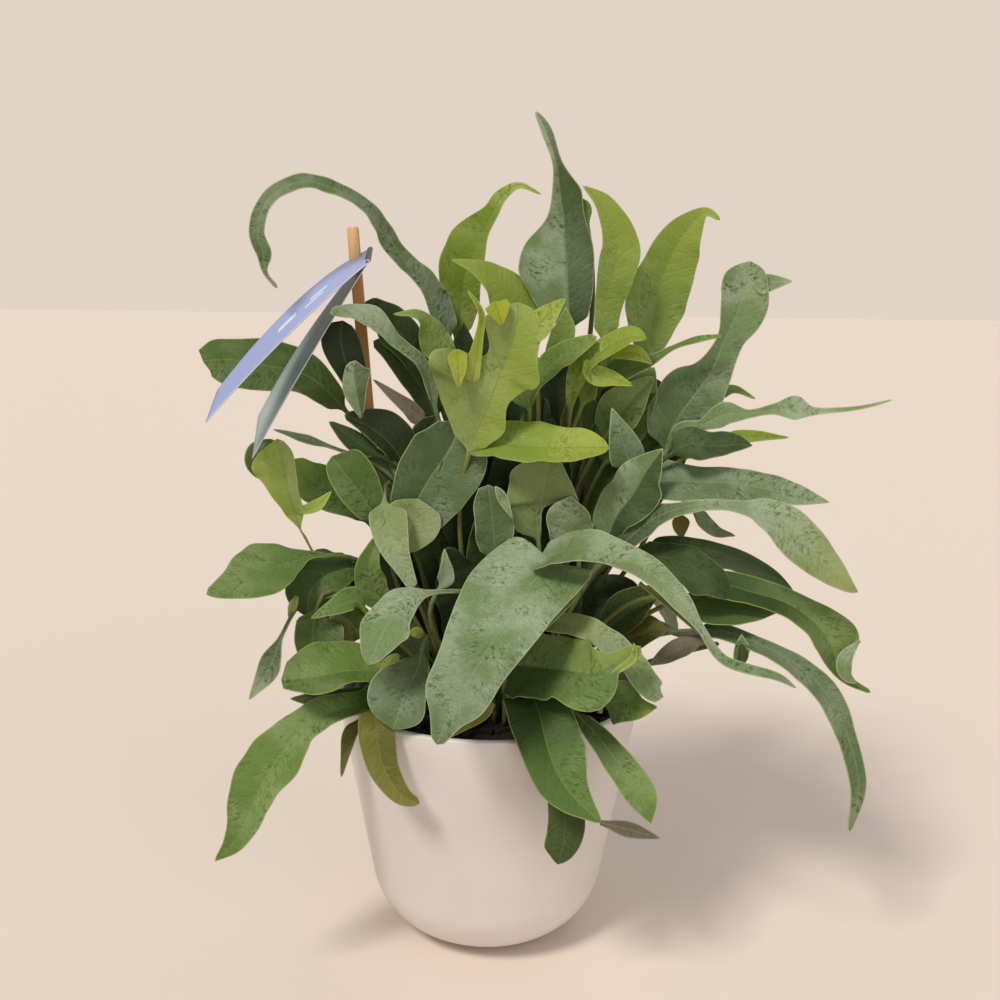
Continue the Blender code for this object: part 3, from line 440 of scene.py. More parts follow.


# Most of these stations are copied, with fewer points, from a longer list that was computed.
# This isn't how such a table should be made.
FRONDS = [
    frond("tall", "glaucous", [(37, 10, 297, 7, 6), (36, 11, 312, 16, 11), (35, 13, 328, 24, 13),
        (34, 15, 340, 20, 13), (33, 16, 352, 9, 10), (31, 17, 364, 4, 10), (29, 16, 377, 2, 3),
        (24, 16, 391, 2.5, 3), (19, 16, 400, 1, 1)],
        tone=(-0.4, -0.2, -0.1, -0.2, -0.1, 0.3), halftone=(0, -0.6), wave=(3, 26)),
    frond("crozier", "glaucous", [(-20, 20, 291, 3, 5), (-28, 18, 308, 3, 9), (-34, 15, 320, 2, 8),
        (-44, 10, 334, 5, 4), (-51, 4, 346, 6, 3.5), (-58, -4, 355, 3.5, 3.5), (-70, -13, 362, 3.5, 3.5),
        (-84, -20, 365, 4, 4), (-98, -26, 358, 3.5, 3.5), (-103, -30, 344, 3, 4), (-101, -30, 334, 4, 3),
        (-100, -30, 326, 1, 1.5), (-95, -30, 319, 1, 1)],
        face=(FACING, (0.2, -0.8, 0.5)), tone=(-0.4, -0.35, -0.3, -0.45, -0.45)),
    frond("yellow_top", "young", [(-18, 25, 291, 3, 4), (-16, 26, 308, 7, 9), (-14, 26, 324, 13, 9),
        (-10, 26, 335, 14, 7), (-6, 26, 344, 12, 4), (-1, 25, 354, 5, 3.5), (4, 24, 362, 3.5, 3),
        (12, 22, 367, 1.5, 2), (22, 20, 363, 0.5, 0.5)],
        tone=(-0.4, -0.35, -0.3, -0.1, 0.1), wave=(5, 26)),
    frond("light_top", "green", [(18, 12, 292, 10, 7), (14, 10, 305, 19, 10), (8, 6, 315, 18, 11),
        (0, 2, 323, 13, 8), (-8, -2, 328, 5, 4.5), (-19, -5, 332, 0.5, 0.5)],
        face=(TILTED,), tone=(0.6, 0.8, 0.8), wave=(5, 26)),
    frond("left_arch", "glaucous", [(-26, 0, 260, 2, 2), (-32, -4, 282, 3.5, 3.5), (-45, -10, 295, 4, 4),
        (-57, -15, 306, 7, 7), (-73, -22, 308, 3, 3)], face=((0.3, -0.8, 0.5), RAISED)),
    leaf("light_upper_left", "green", [(-14, 5, 273, 2.5, 2.5), (-26, 4, 293, 9, 7), (-34, 0, 306, 4, 3),
        (-46, -5, 307, 0.5, 0.5)], face=(TILTED,), tone=(0, 0.15, 0.3, 0.4)),
    frond("big_right", "green", [(77, 22, 282, 2, 2), (77, 23, 296, 10, 10), (79, 24, 312, 15, 15),
        (85, 24, 332, 12, 14), (91, 22, 345, 9, 11), (100, 18, 355, 3, 3), (107, 15, 352, 1, 1)],
        tone=(0.1, 0.15, 0.35, 0.7, 0.9), halftone=(0, 0.2), wave=(4, 26)),
    frond("light_arch", "green", [(53, 8, 293, 5, 7), (53, 8, 310, 5, 8), (57, 5, 331, 8, 11),
        (57, 4, 342, 7, 10), (50, 3, 357, 3.5, 6), (41, 2, 366, 0.5, 0.5)],
        tone=(0.2, 0.35, 0.6, 0.8), halftone=(0.1, 0.15), wave=(4, 26)),
    frond("far_left", "green", [(-70, 14, 258, 4, 3.5), (-80, 10, 270, 8, 7), (-91, 6, 278, 10, 11),
        (-107, 0, 282, 13, 13), (-121, -6, 285, 14, 10), (-132, -11, 285, 11, 11),
        (-133, -11, 284, 10, 11)], fold=8, tone=(-0.75, -0.6, -0.5, -0.4), wave=(2, 30)),
    frond("young_centre", "pale", [(-11, -20, 242, 1, 1.5), (-8, -22, 252, 11, 8), (-4, -23, 261, 22, 12),
        (0, -26, 272, 29, 9), (3, -27, 281, 32, 15), (5, -28, 286, 10, 19), (9, -30, 297, 12, 13),
        (11, -30, 307, 16, 11), (11, -28, 314, 16, 2)],
        face=(TILTED,), halftone=(-0.1, 0.5), fold=8, tone=(0.0, 0.0, 0.15), wave=(5, 24)),
    leaf("young_right_lobe", "young", [(-10, -21, 245, 2.5, 2.5), (2, -23, 249, 12, 10),
        (14, -27, 249, 14, 12), (29, -30, 249, 12, 12), (44, -33, 250, 9, 9), (53, -34, 250, 2, 3)],
        face=(RAISED,), tone=(-0.2, -0.15, 0.3, 0.5), stalk=False, wave=(6, 24)),
    leaf("young_left_flap", "young", [(-16, -29, 293, 5, 5), (-15, -31, 284, 3.5, 3.5),
        (-15, -31, 276, 0.5, 0.5)], face=(TILTED,), tone=(0.6,), stalk=False, wave=(5, 26)),
    leaf("young_edge", "young", [(-9, -27, 278, 6, 3.5), (-6, -29, 297, 2.5, 2), (-5, -31, 309, 1.5, 1.5),
        (-11, -31, 319, 0.5, 0.5)], tone=(0.4, 0.3), stalk=False, wave=(1, 30)),
    leaf("young_top_flap", "young", [(0, -34, 314, 9, 9), (2, -35, 311, 6, 6), (4, -35, 304, 0.5, 0.5)],
        face=((0, -0.5, 0.9),), tone=(1.0,), stalk=False, wave=(5, 26)),
    leaf("green_upper_right", "green", [(18, 0, 259, 1, 1), (18, -3, 270, 10, 3), (23, -4, 279, 7, 4.5),
        (34, -7, 290, 6, 7), (48, -10, 298, 2, 3)], face=(TILTED,), tone=(-0.1, 0.3)),
    frond("curled_bright", "young", [(37, 0, 259, 0.5, 0.5), (38, -5, 273, 3.5, 3.5), (42, -8, 284, 6, 7),
        (52, -11, 292, 7, 7), (63, -15, 298, 7, 7), (70, -18, 298, 1, 2)],
        face=(RAISED,), tone=(-0.5, -0.2, 0.1, 0.15), wave=(4, 22)),
    leaf("bright_small", "young", [(43, -10, 287, 1.5, 2), (48, -12, 281, 4.5, 6), (56, -12, 279, 3.5, 4),
        (65, -14, 276, 0.5, 0.5)], tone=(0.1, 0.3), stalk=False, wave=(3, 20)),
    leaf("bright_under", "young", [(55, -10, 289, 1, 1), (65, -12, 291, 4, 4), (74, -12, 286, 0.5, 0.5)],
        tone=(0.3,), stalk=False, wave=(5, 26)),
    leaf("thin_strand", "green", [(54, -4, 277, 1.5, 1.5), (60, -4, 281, 8, 7), (72, -6, 286, 3.5, 4),
        (84, -7, 293, 1.5, 1.5), (95, -8, 297, 2, 2), (106, -8, 299, 1, 1)],
        face=(HALF_UP,), tone=(-0.35, -0.3, -0.3, 0.1), stalk=False, wave=(3, 22)),
    frond("blue_s", "glaucous", [(83, 0, 241, 4, 5), (87, 1, 256, 14, 12), (97, 2, 271, 16, 14),
        (104, 3, 281, 9, 10), (110, 5, 296, 4, 9), (116, 5, 311, 9, 13), (119, 4, 325, 11, 10),
        (120, 3, 333, 4, 4)],
        tone=(-0.4, -0.45, -0.55, -0.3, 0.0, 0.1), halftone=(-0.1, 0.1), fold=6, wave=(3, 26)),
    leaf("small_behind", "green", [(106, 10, 266, 4, 4), (116, 10, 272, 2.5, 2), (127, 9, 268, 0.5, 0.5)]),
    frond("wavy_right", "glaucous", [(82, -5, 242, 1, 1), (88, -8, 256, 2, 2), (98, -12, 258, 2.5, 3),
        (108, -14, 263, 6, 6), (119, -16, 264, 2, 2.5), (130, -18, 266, 3, 2.5), (139, -20, 267, 6, 6),
        (148, -21, 266, 2, 2), (168, -22, 268, 1, 1), (182, -24, 272, 0.5, 0.5)]),
    frond("dark_right", "deep", [(82, -15, 243, 4, 4), (90, -18, 249, 9, 9), (102, -20, 249, 7, 7),
        (112, -21, 250, 6, 4.5), (120, -22, 250, 0.5, 0.5)], face=(TILTED,)),
    leaf("yellow_behind", "young", [(108, 5, 246, 3, 3), (122, 5, 250, 3.5, 3.5),
        (143, 4, 250, 0.5, 0.5)]),
    frond("long_right", "glaucous", [(70, -11, 229, 3.5, 4.5), (78, -13, 231, 11, 13),
        (94, -18, 232, 8, 13), (111, -22, 232, 8, 12), (128, -26, 230, 8, 9), (142, -30, 228, 5, 6),
        (154, -33, 226, 0.5, 0.5)], face=(HALF_UP,), tone=(-0.4, -0.3, -0.15), wave=(5, 26)),
    leaf("round_tip_behind", "glaucous", [(96, 0, 217, 5, 5), (108, 0, 205, 3.5, 4),
        (119, 0, 202, 0.5, 0.5)], face=(HALF_UP,)),
    leaf("small_yellow", "olive", [(93, 5, 211, 4.5, 4.5), (93, 5, 205, 4, 4), (94, 5, 199, 0.5, 0.5)],
        tone=(0.6,), stalk=False, wave=(5, 26)),
    leaf("rolled_left", "deep", [(-49, -3, 238, 0.5, 0.5), (-64, -6, 247, 6, 5), (-76, -9, 257, 1, 1)],
        face=(TILTED,), tone=(-0.3,), wave=(5, 26)),
    leaf("black_left", "deep", [(-41, -2, 234, 3, 3), (-46, -2, 243, 6, 12), (-55, -4, 252, 6, 12),
        (-69, -7, 260, 2, 2)], face=(TILTED,), tone=(-0.9,), wave=(5, 26)),
    leaf("slender_left", "glaucous", [(-62, -3, 239, 1.5, 1.5), (-75, -5, 244, 1, 1),
        (-87, -7, 248, 2.5, 2.5), (-102, -9, 253, 0.5, 0.5)], face=(HALF_UP,), tone=(-0.1,)),
    frond("mid_left", "green", [(-52, -14, 207, 2.5, 2.5), (-58, -15, 219, 8, 9), (-66, -17, 231, 9, 13),
        (-72, -17, 239, 6, 11), (-74, -17, 242, 2, 4.5)],
        tone=(-0.35, -0.4), halftone=(0.05, -0.1), wave=(3, 26)),
    frond("mid_left_back", "green", [(-57, -2, 205, 1, 1), (-64, -4, 214, 6, 6), (-75, -5, 222, 11, 10),
        (-87, -7, 230, 11, 9), (-93, -8, 239, 3, 3)],
        face=(TILTED,), tone=(-0.6, -0.5, -0.4, 0.2, 0.6), wave=(5, 26)),
    frond("young_left", "pale", [(-83, -6, 188, 0.5, 0.5), (-87, -17, 203, 0.5, 0.5),
        (-89, -20, 208, 0.5, 0.5), (-91, -20, 215, 4, 4), (-94, -21, 226, 8, 5), (-97, -19, 241, 14, 6),
        (-99, -18, 250, 2, 2)], face=(TILTED,), neck=3.0, tone=(0.5, 0.3, 0.3), halftone=(0.3, -0.2)),
    leaf("young_left_lobe", "young", [(-90, -20, 216, 2, 1.5), (-81, -20, 219, 3, 3.5),
        (-74, -20, 226, 0.5, 0.5)], face=(TILTED,), stalk=False),
    leaf("young_left_roll", "green", [(-106, -15, 231, 2.5, 2.5), (-111, -16, 238, 3.5, 3.5),
        (-109, -16, 245, 3.5, 4), (-101, -15, 249, 1, 1.5)], tone=(-0.7,), stalk=False, wave=(3, 20)),
    frond("left", "green", [(-72, -12, 193, 3, 1.5), (-84, -20, 195, 2.5, 3), (-92, -26, 193, 8, 11),
        (-100, -32, 192, 18, 16), (-108, -38, 190, 20, 14), (-117, -44, 187, 14, 8), (-127, -48, 184, 2, 2)],
        face=(UPWARD,), tone=(-0.3, -0.25, -0.1, -0.1), wave=(5, 26)),
    leaf("olive_behind", "olive", [(-73, 0, 190, 0.5, 0.5), (-79, 0, 191, 2, 2.5), (-86, 0, 192, 1, 1)]),
    frond("dark_left", "green", [(-62, -4, 184, 2.5, 3.5), (-68, -9, 186, 7, 8), (-78, -17, 184, 12, 11),
        (-85, -22, 177, 9, 12), (-85, -26, 167, 2, 2)],
        face=(TILTED,), tone=(-0.75, -0.85, -0.95), halftone=(0.25, -0.05), wave=(3, 28)),
    frond("upright_left", "green", [(-47, -14, 166, 3, 3), (-55, -17, 178, 8, 7), (-57, -19, 191, 6, 6),
        (-52, -18, 207, 0.5, 0.5)]),
    frond("centre_lobed", "glaucous", [(-50, -14, 223, 3, 3), (-49, -20, 214, 10, 8), (-45, -27, 202, 8, 7),
        (-40, -31, 193, 4.5, 4.5), (-35, -35, 184, 2.5, 2.5)], tone=(0.4, 0.35, 0.2), wave=(5, 26)),
    leaf("centre_right_lobe", "glaucous", [(-41, -17, 196, 3, 3), (-37, -16, 208, 12, 13),
        (-35, -16, 218, 12, 12), (-34, -16, 222, 6, 4.5)], tone=(0.5, 0.45), stalk=False, wave=(2, 26)),
    frond("broad_centre", "deep", [(-43, 4, 216, 5, 4), (-39, 4, 229, 7, 9), (-32, 3, 244, 9, 12),
        (-29, 3, 253, 7, 8), (-26, 2, 259, 1, 1)], tone=(0, -0.2, -0.5), halftone=(-0.2, 0), wave=(5, 26)),
    leaf("bright_saddle", "green", [(-57, -32, 171, 3, 3), (-62, -33, 177, 5, 7), (-70, -35, 175, 4.5, 5),
        (-82, -38, 170, 0.5, 0.5)], face=(TILTED,), tone=(-0.2,)),
    leaf("under_saddle", "olive", [(-63, -26, 151, 3, 3.5), (-68, -29, 160, 6, 6),
        (-74, -30, 169, 3.5, 3.5)]),
    leaf("left_hanging_green", "green", [(-80, -28, 174, 6, 5), (-82, -30, 166, 14, 8),
        (-82, -34, 155, 15, 8), (-81, -35, 147, 9, 3.5)], tone=(-0.6, -0.55, -0.4), wave=(3, 26)),
    leaf("pale_edge_left", "young", [(-90, -26, 177, 1, 1), (-92, -27, 173, 2.5, 2),
        (-94, -28, 167, 0.5, 0.5)], stalk=False),
    frond("round_left", "green", [(-41, -44, 149, 4, 4), (-49, -47, 148, 8, 10), (-63, -53, 150, 9, 16),
        (-79, -59, 149, 13, 16), (-90, -62, 149, 7, 8), (-92, -62, 149, 2.5, 2.5)],
        face=(UPWARD,), tone=(0.0, 0.0, -0.1, -0.35), halftone=(-0.1, 0.15), wave=(5, 24)),
    frond("hanging_left", "glaucous", [(-90, -8, 170, 1.5, 1.5), (-92, -30, 169, 1, 1),
        (-95, -43, 162, 1, 1.5), (-98, -46, 154, 4, 5), (-101, -48, 147, 5, 5), (-109, -50, 135, 0.5, 0.5)],
        tone=(-0.8, -0.8, -0.75, -0.6, 0.3), wave=(4, 24)),
    frond("spoon", "glaucous", [(-10, -38, 184, 1.5, 1.5), (-26, -50, 186, 1.5, 2), (-35, -58, 185, 6, 8),
        (-45, -67, 175, 12, 11), (-50, -73, 165, 6, 6), (-52, -75, 161, 0.5, 0.5)], face=(UPWARD,)),
    frond("grey_centre", "glaucous", [(23, -16, 200, 3, 2), (22, -18, 212, 12, 2), (24, -18, 220, 16, 2),
        (24, -19, 225, 17, 18), (26, -20, 237, 15, 10), (27, -20, 244, 4.5, 4.5)], tone=(0.25, 0.4, 0.4)),
    leaf("grey_shield", "glaucous", [(41, -18, 200, 7, 6), (38, -21, 210, 12, 10), (37, -24, 220, 11, 7),
        (37, -25, 226, 0.5, 0.5)]),
    leaf("ellipse_centre", "glaucous", [(3, -20, 191, 6, 4.5), (1, -23, 212, 9, 10), (-1, -26, 228, 6, 5),
        (-1, -26, 231, 1, 1.5)], tone=(-0.35,), halftone=(0, -0.05)),
    leaf("ellipse_flap", "glaucous", [(10, -29, 216, 0.5, 0.5), (5, -29, 226, 2.5, 2.5),
        (2, -29, 231, 0.5, 0.5)], stalk=False),
    frond("front_large", "glaucous", [(27, -50, 202, 21, 6), (24, -52, 198, 22, 21), (13, -63, 188, 21, 25),
        (5, -74, 178, 18, 23), (-5, -89, 165, 14, 18), (-13, -99, 154, 13, 15), (-17, -103, 147, 7, 8),
        (-21, -106, 138, 2.5, 2.5)], face=(UPWARD,), sweep=(17, 15, 10, 4, 0, 0, 0, 0), neck=1.5, fold=8,
        tone=(0, 0, 0, -0.12, -0.3, -0.35), wave=(1, 34)),
    leaf("front_large_tip", "olive", [(2, -98, 153, 1, 1), (-3, -100, 149, 3, 3), (-16, -103, 140, 0.5, 0.5)],
        tone=(0.1, 0.4, 0.9), stalk=False, wave=(5, 26)),
    leaf("front_large_edge", "green", [(40, -60, 193, 0.5, 0.5), (34, -64, 186, 1.5, 2.5),
        (22, -72, 175, 0.5, 0.5)], stalk=False, wave=(2, 26)),
    frond("front_arch", "glaucous", [(19, -42, 197, 5, 5), (24, -46, 201, 10, 11), (38, -59, 209, 12, 15),
        (51, -71, 210, 9, 10), (66, -84, 206, 7, 7), (79, -91, 195, 5, 6), (87, -92, 184, 2.5, 2),
        (98, -92, 170, 3, 3), (120, -91, 163, 2.5, 2.5), (129, -90, 158, 0.5, 0.5)],
        face=(UPWARD,), tone=(0, 0.1, 0.05, -0.1), wave=(3, 30)),
    leaf("front_arch_edge", "green", [(63, -80, 200, 0.5, 0.5), (76, -87, 192, 2, 2),
        (87, -91, 182, 0.5, 0.5)], stalk=False),
    frond("lower_broad", "green", [(7, -42, 150, 12, 14), (20, -53, 153, 15, 18), (34, -66, 156, 15, 16),
        (43, -75, 158, 15, 18), (48, -79, 161, 11, 16), (54, -80, 165, 5, 5), (61, -82, 170, 3.5, 4),
        (64, -82, 173, 1, 2)],
        face=(TILTED,), tone=(-0.7, -0.7, -0.6, -0.15, -0.1, 0.3), halftone=(0.4, -0.1), wave=(8, 22)),
    leaf("lower_broad_edge", "young", [(48, -79, 142, 0.5, 0.5), (52, -82, 159, 1, 1.5),
        (61, -84, 168, 2, 1.5), (61, -84, 175, 0.5, 0.5)], stalk=False),
    frond("lower_bend", "glaucous", [(21, -44, 168, 3, 3), (34, -53, 173, 6, 6), (48, -62, 171, 6, 6),
        (61, -69, 162, 6, 6), (71, -73, 149, 6, 4.5), (76, -73, 147, 0.5, 0.5)],
        face=(UPWARD, FACING), tone=(1.0, 0.4, 0)),
    leaf("below_bend", "green", [(49, -58, 138, 4, 6), (59, -62, 140, 10, 12), (67, -67, 140, 4, 7),
        (74, -70, 141, 0.5, 0.5)], face=(TILTED,), tone=(-0.3, 0, 0.5), wave=(5, 26)),
    frond("pointed_right", "glaucous", [(54, -19, 201, 3.5, 3), (58, -21, 214, 11, 8),
        (66, -23, 227, 12, 13), (71, -24, 237, 10, 10), (78, -28, 249, 0.5, 0.5)],
        face=(TILTED,), tone=(-0.3, -0.15, -0.1), halftone=(0.1, -0.7)),
    frond("thin_arch", "deep", [(72, -8, 197, 3, 3.5), (84, -11, 200, 5, 7), (100, -13, 199, 5, 12),
        (117, -16, 195, 5, 13), (133, -20, 188, 3.5, 6), (143, -22, 181, 0.5, 0.5)],
        face=(UPWARD,), wave=(4, 26)),
    frond("dark_lower_right", "deep", [(65, -20, 196, 5, 5), (74, -25, 198, 8, 9), (88, -30, 196, 10, 16),
        (101, -35, 190, 9, 15), (113, -38, 180, 0.5, 0.5)], face=(UPWARD,)),
    leaf("olive_low", "green", [(85, -29, 178, 5, 5), (95, -30, 175, 9, 10), (108, -32, 174, 11, 13),
        (122, -34, 174, 7, 8), (134, -36, 175, 0.5, 0.5)],
        face=(UPWARD,), tone=(-0.75, -0.45, -0.35), wave=(4, 26)),
    leaf("brown_stalk", "dry", [(75, -12, 164, 2.5, 2.5), (88, -19, 159, 2.5, 2.5),
        (103, -25, 157, 2.5, 2.5)], face=(UPWARD,)),
    leaf("brown_leaf", "dry", [(104, -26, 156, 2, 3), (96, -27, 156, 5, 5), (86, -29, 151, 5, 6),
        (75, -30, 146, 0.5, 0.5)], face=(UPWARD,)),
    leaf("curled_end_back", "glaucous", [(114, -40, 152, 1.5, 4.5), (115, -40, 159, 2, 5),
        (116, -40, 165, 0.5, 0.5)], stalk=False),
    leaf("curled_end", "deep", [(116, -42, 151, 1.5, 1.5), (116, -43, 156, 3, 3), (115, -43, 162, 1.5, 1.5)],
        stalk=False),
    leaf("olive_small", "olive", [(56, -18, 148, 6, 6), (64, -20, 154, 10, 10), (75, -23, 160, 10, 10),
        (84, -25, 162, 2, 2)], face=(UPWARD,), wave=(5, 26)),
    leaf("pale_upright", "glaucous", [(-25, -30, 180, 1, 1), (-21, -30, 187, 3.5, 5),
        (-21, -32, 202, 0.5, 0.5)]),
    leaf("small_curl", "young", [(-37, -40, 164, 1, 1), (-33, -42, 165, 2.5, 2.5), (-30, -42, 163, 1, 1.5)],
        stalk=False),
    frond("speckled_arch", "glaucous", [(54, -20, 194, 3.5, 3.5), (72, -28, 214, 7, 7),
        (85, -34, 222, 3.5, 4.5), (100, -39, 226, 2, 4.5), (113, -45, 226, 3, 5), (121, -48, 225, 6, 10),
        (130, -52, 220, 9, 13), (142, -57, 208, 9, 13), (155, -62, 196, 4, 5), (161, -62, 192, 0.5, 0.5)],
        face=(HALF_UP,), tone=(-0.95, -0.7, -0.2, 0.05, 0.4, 1.0), wave=(5, 26)),
    frond("drooping", "green", [(94, -27, 180, 3.5, 3.5), (106, -31, 186, 7, 10), (120, -36, 184, 8, 9),
        (136, -41, 180, 7, 8), (148, -45, 172, 10, 8), (155, -46, 163, 14, 8), (159, -46, 153, 7, 5),
        (165, -44, 145, 2.5, 2.5), (176, -44, 139, 1, 1)], face=(UPWARD, FACING),
        tone=(-0.95, -0.9, -0.6, -0.1, 0.1, -0.2), halftone=(0.1, -0.35), wave=(5, 26)),
    leaf("drooping_flap", "glaucous", [(167, -50, 166, 0.5, 0.5), (161, -52, 157, 3, 4.5),
        (162, -52, 150, 2.5, 3), (167, -51, 146, 0.5, 0.5)], stalk=False),
    frond("long_arching", "glaucous", [(95, -26, 162, 4.5, 4.5), (108, -32, 164, 4, 7),
        (125, -40, 160, 3.5, 6), (142, -48, 152, 5, 7), (155, -52, 139, 6, 7), (164, -54, 121, 4, 6),
        (170, -56, 98, 3.5, 4.5), (167, -57, 76, 1, 1)], face=(UPWARD, FACING),
        tone=(-0.8, -0.6, -0.5, -0.35, -0.5, -0.4), halftone=(-0.05, 0.05), wave=(5, 26)),
    frond("front_low", "green", [(18, -50, 141, 13, 13), (22, -66, 137, 14, 15), (26, -80, 125, 16, 13),
        (30, -87, 117, 14, 12), (36, -91, 109, 9, 9), (48, -98, 100, 1, 1)], face=(UPWARD, FACING),
        tone=(-0.95, -0.9, -0.75, -0.3, -0.15, -0.2), halftone=(0.1, -0.2), wave=(4, 26)),
    leaf("front_low_tail", "dry", [(48, -98, 100, 1, 1), (60, -96, 96, 3.5, 3.5), (74, -94, 91, 0.5, 0.5)],
        tone=(-0.6,), stalk=False, wave=(4, 20)),
    frond("hanging_front", "deep", [(32, -74, 113, 5, 6), (33, -79, 102, 8, 7), (34, -81, 89, 9, 8),
        (33, -82, 79, 6, 8), (31, -82, 72, 1, 1)], tone=(0, 0.1, 0.1), wave=(3, 24)),
    frond("right_low", "green", [(37, -60, 136, 2, 2), (48, -69, 127, 5, 5), (60, -78, 114, 7, 7),
        (67, -84, 104, 7, 6), (71, -86, 94, 0.5, 0.5)],
        tone=(-0.85, -0.8, -0.7, -0.1, 0.05, 0.1), wave=(4, 24)),
    frond("left_low", "green", [(-41, -40, 131, 8, 10), (-49, -43, 132, 15, 12), (-58, -48, 132, 6, 7),
        (-72, -56, 131, 7, 9), (-83, -62, 126, 8, 9), (-92, -68, 116, 12, 13), (-101, -74, 102, 9, 13),
        (-110, -78, 82, 6, 6), (-120, -80, 71, 0.5, 0.5)],
        face=(UPWARD, FACING), tone=(-0.35, -0.15, -0.05, 0.1, -0.05, -0.2), wave=(7, 24)),
    leaf("dark_under_round", "deep", [(-51, -38, 135, 2.5, 3.5), (-64, -41, 133, 5, 4.5),
        (-80, -45, 134, 4, 3), (-91, -46, 134, 0.5, 0.5)], wave=(5, 26)),
    leaf("small_hanging_left", "olive", [(-58, -44, 125, 2.5, 3.5), (-63, -50, 118, 3, 4),
        (-67, -55, 100, 0.5, 0.5)]),
    frond("olive", "olive", [(-51, -52, 134, 9, 6), (-50, -65, 127, 9, 8), (-46, -71, 112, 7, 7),
        (-38, -77, 102, 4.5, 4.5), (-30, -77, 98, 1.5, 1.5)],
        tone=(0, 0.1, 0.2, 0.5), halftone=(-0.15, 0.15), wave=(3, 24)),
    leaf("low_left_grey", "glaucous", [(-30, -48, 161, 3.5, 2.5), (-32, -54, 152, 5.5, 9),
        (-37, -61, 143, 10, 16), (-40, -67, 135, 11, 14), (-42, -69, 129, 1.5, 1.5)],
        tone=(-0.6, -0.45, -0.35), wave=(3, 26)),
    leaf("curl_a", "young", [(-41, -47, 156, 2, 2.5), (-45, -50, 152, 3, 3.5), (-49, -52, 148, 1, 1.5)],
        stalk=False),
    leaf("curl_b", "young", [(-41, -54, 147, 1, 1.5), (-43, -55, 153, 2, 2), (-48, -55, 149, 0.5, 0.5)],
        stalk=False),
    leaf("mid_left_top", "glaucous", [(-48, 2, 212, 2, 3), (-50, 1, 224, 11, 4.5), (-55, -1, 234, 16, 7),
        (-61, -2, 241, 10, 10)], tone=(-0.7,), wave=(3, 26)),
    leaf("broad_front", "glaucous", [(-45, -10, 198, 4, 4.5), (-40, -12, 210, 9, 14),
        (-30, -13, 229, 16, 21), (-20, -14, 244, 17, 21), (-16, -14, 253, 11, 13), (-14, -14, 256, 3.5, 3.5)],
        tone=(-0.4, -0.5), halftone=(-0.35, -0.05), fold=10, wave=(3, 30)),
    leaf("dark_gap", "shade", [(-47, -4, 166, 3, 3), (-49, -5, 186, 6, 6), (-50, -6, 207, 1, 1)],
        wave=(5, 26)),
    frond("beside_stake", "deep", [(-63, -6, 266, 1.5, 2), (-66, -8, 278, 5, 8), (-70, -9, 294, 9, 9),
        (-69, -9, 304, 6, 6)], tone=(-1,), fold=2, stalk=False, wave=(1, 30)),
    frond("dark_upper_left", "deep", [(-29, 8, 273, 3, 3), (-36, 8, 287, 8, 7), (-47, 6, 301, 10, 9),
        (-60, 4, 312, 4, 4)], tone=(-0.4,), wave=(8, 22)),
    leaf("dark_mid_upper", "deep", [(-25, 6, 254, 3, 4), (-34, 6, 272, 7, 7), (-46, 4, 287, 6, 6),
        (-56, 2, 294, 2.5, 2)], tone=(-0.3,), wave=(5, 26)),
    leaf("green_mid_top", "green", [(25, 0, 283, 2.5, 2.5), (33, -2, 298, 6, 6), (34, -3, 311, 0.5, 0.5)],
        face=(TILTED,), tone=(0.3, 0.4), wave=(5, 26)),
    leaf("young_corner", "young", [(13, -30, 293, 1.5, 1.5), (21, -32, 305, 6, 7), (32, -32, 316, 1, 0.5)],
        face=(TILTED,), tone=(0.2,), stalk=False, wave=(5, 26)),
    leaf("grey_point", "glaucous", [(68, -6, 233, 8, 6), (63, -8, 246, 9, 8), (56, -10, 265, 0.5, 0.5)],
        tone=(-0.35, -0.2), wave=(3, 26)),
    leaf("shade_a", "shade", [(14, 30, 240, 7, 7), (14, 33, 272, 13, 13), (12, 34, 300, 1.5, 1.5)]),
    leaf("shade_b", "shade", [(35, 25, 232, 7, 7), (33, 29, 264, 13, 13), (29, 31, 293, 1.5, 1.5)]),
    leaf("shade_c", "shade", [(54, 20, 225, 7, 7), (61, 23, 250, 16, 16), (67, 25, 275, 1.5, 1.5)]),
    leaf("shade_d", "shade", [(-7, 20, 235, 6, 6), (-6, 23, 263, 10, 10), (-4, 26, 300, 1.5, 1.5)]),
    leaf("shade_e", "shade", [(-33, 18, 214, 7, 7), (-33, 20, 238, 11, 11), (-32, 22, 259, 2, 2)]),
    leaf("shade_f", "green", [(46, 10, 237, 7, 7), (43, 7, 258, 10, 10), (43, 5, 280, 1.5, 1.5)],
        tone=(-0.8, -0.6)),
    leaf("shade_g", "green", [(81, 15, 221, 7, 7), (76, 17, 248, 11, 11), (69, 18, 273, 1.5, 1.5)],
        tone=(-0.5, -0.3)),
    leaf("small_light_tip", "green", [(45, 18, 346, 1.5, 1.5), (43, 18, 356, 3.5, 3.5),
        (42, 18, 361, 1.5, 1.5)], tone=(0.2,), wave=(5, 26)),
    leaf("low_dark_right", "deep", [(53, -14, 153, 4, 4), (66, -19, 170, 10, 9), (81, -24, 183, 1.5, 1.5)],
        wave=(5, 26)),
    leaf("shade_i", "shade", [(-15, 18, 255, 5, 5), (-14, 20, 288, 6, 6), (-14, 20, 302, 0.5, 0.5)]),
    leaf("tan_leaf", "dry", [(-30, 4, 251, 3, 3), (-38, 3, 261, 4.5, 4), (-56, 0, 276, 0.5, 0.5)]),
    leaf("tall_fill", "green", [(54, 24, 250, 6, 6), (56, 26, 275, 9, 9), (56, 27, 296, 1.5, 1.5)],
        tone=(-0.4,)),
    leaf("shade_right_low", "green", [(42, 10, 186, 2, 2), (46, 13, 208, 11, 11), (52, 15, 232, 15, 14),
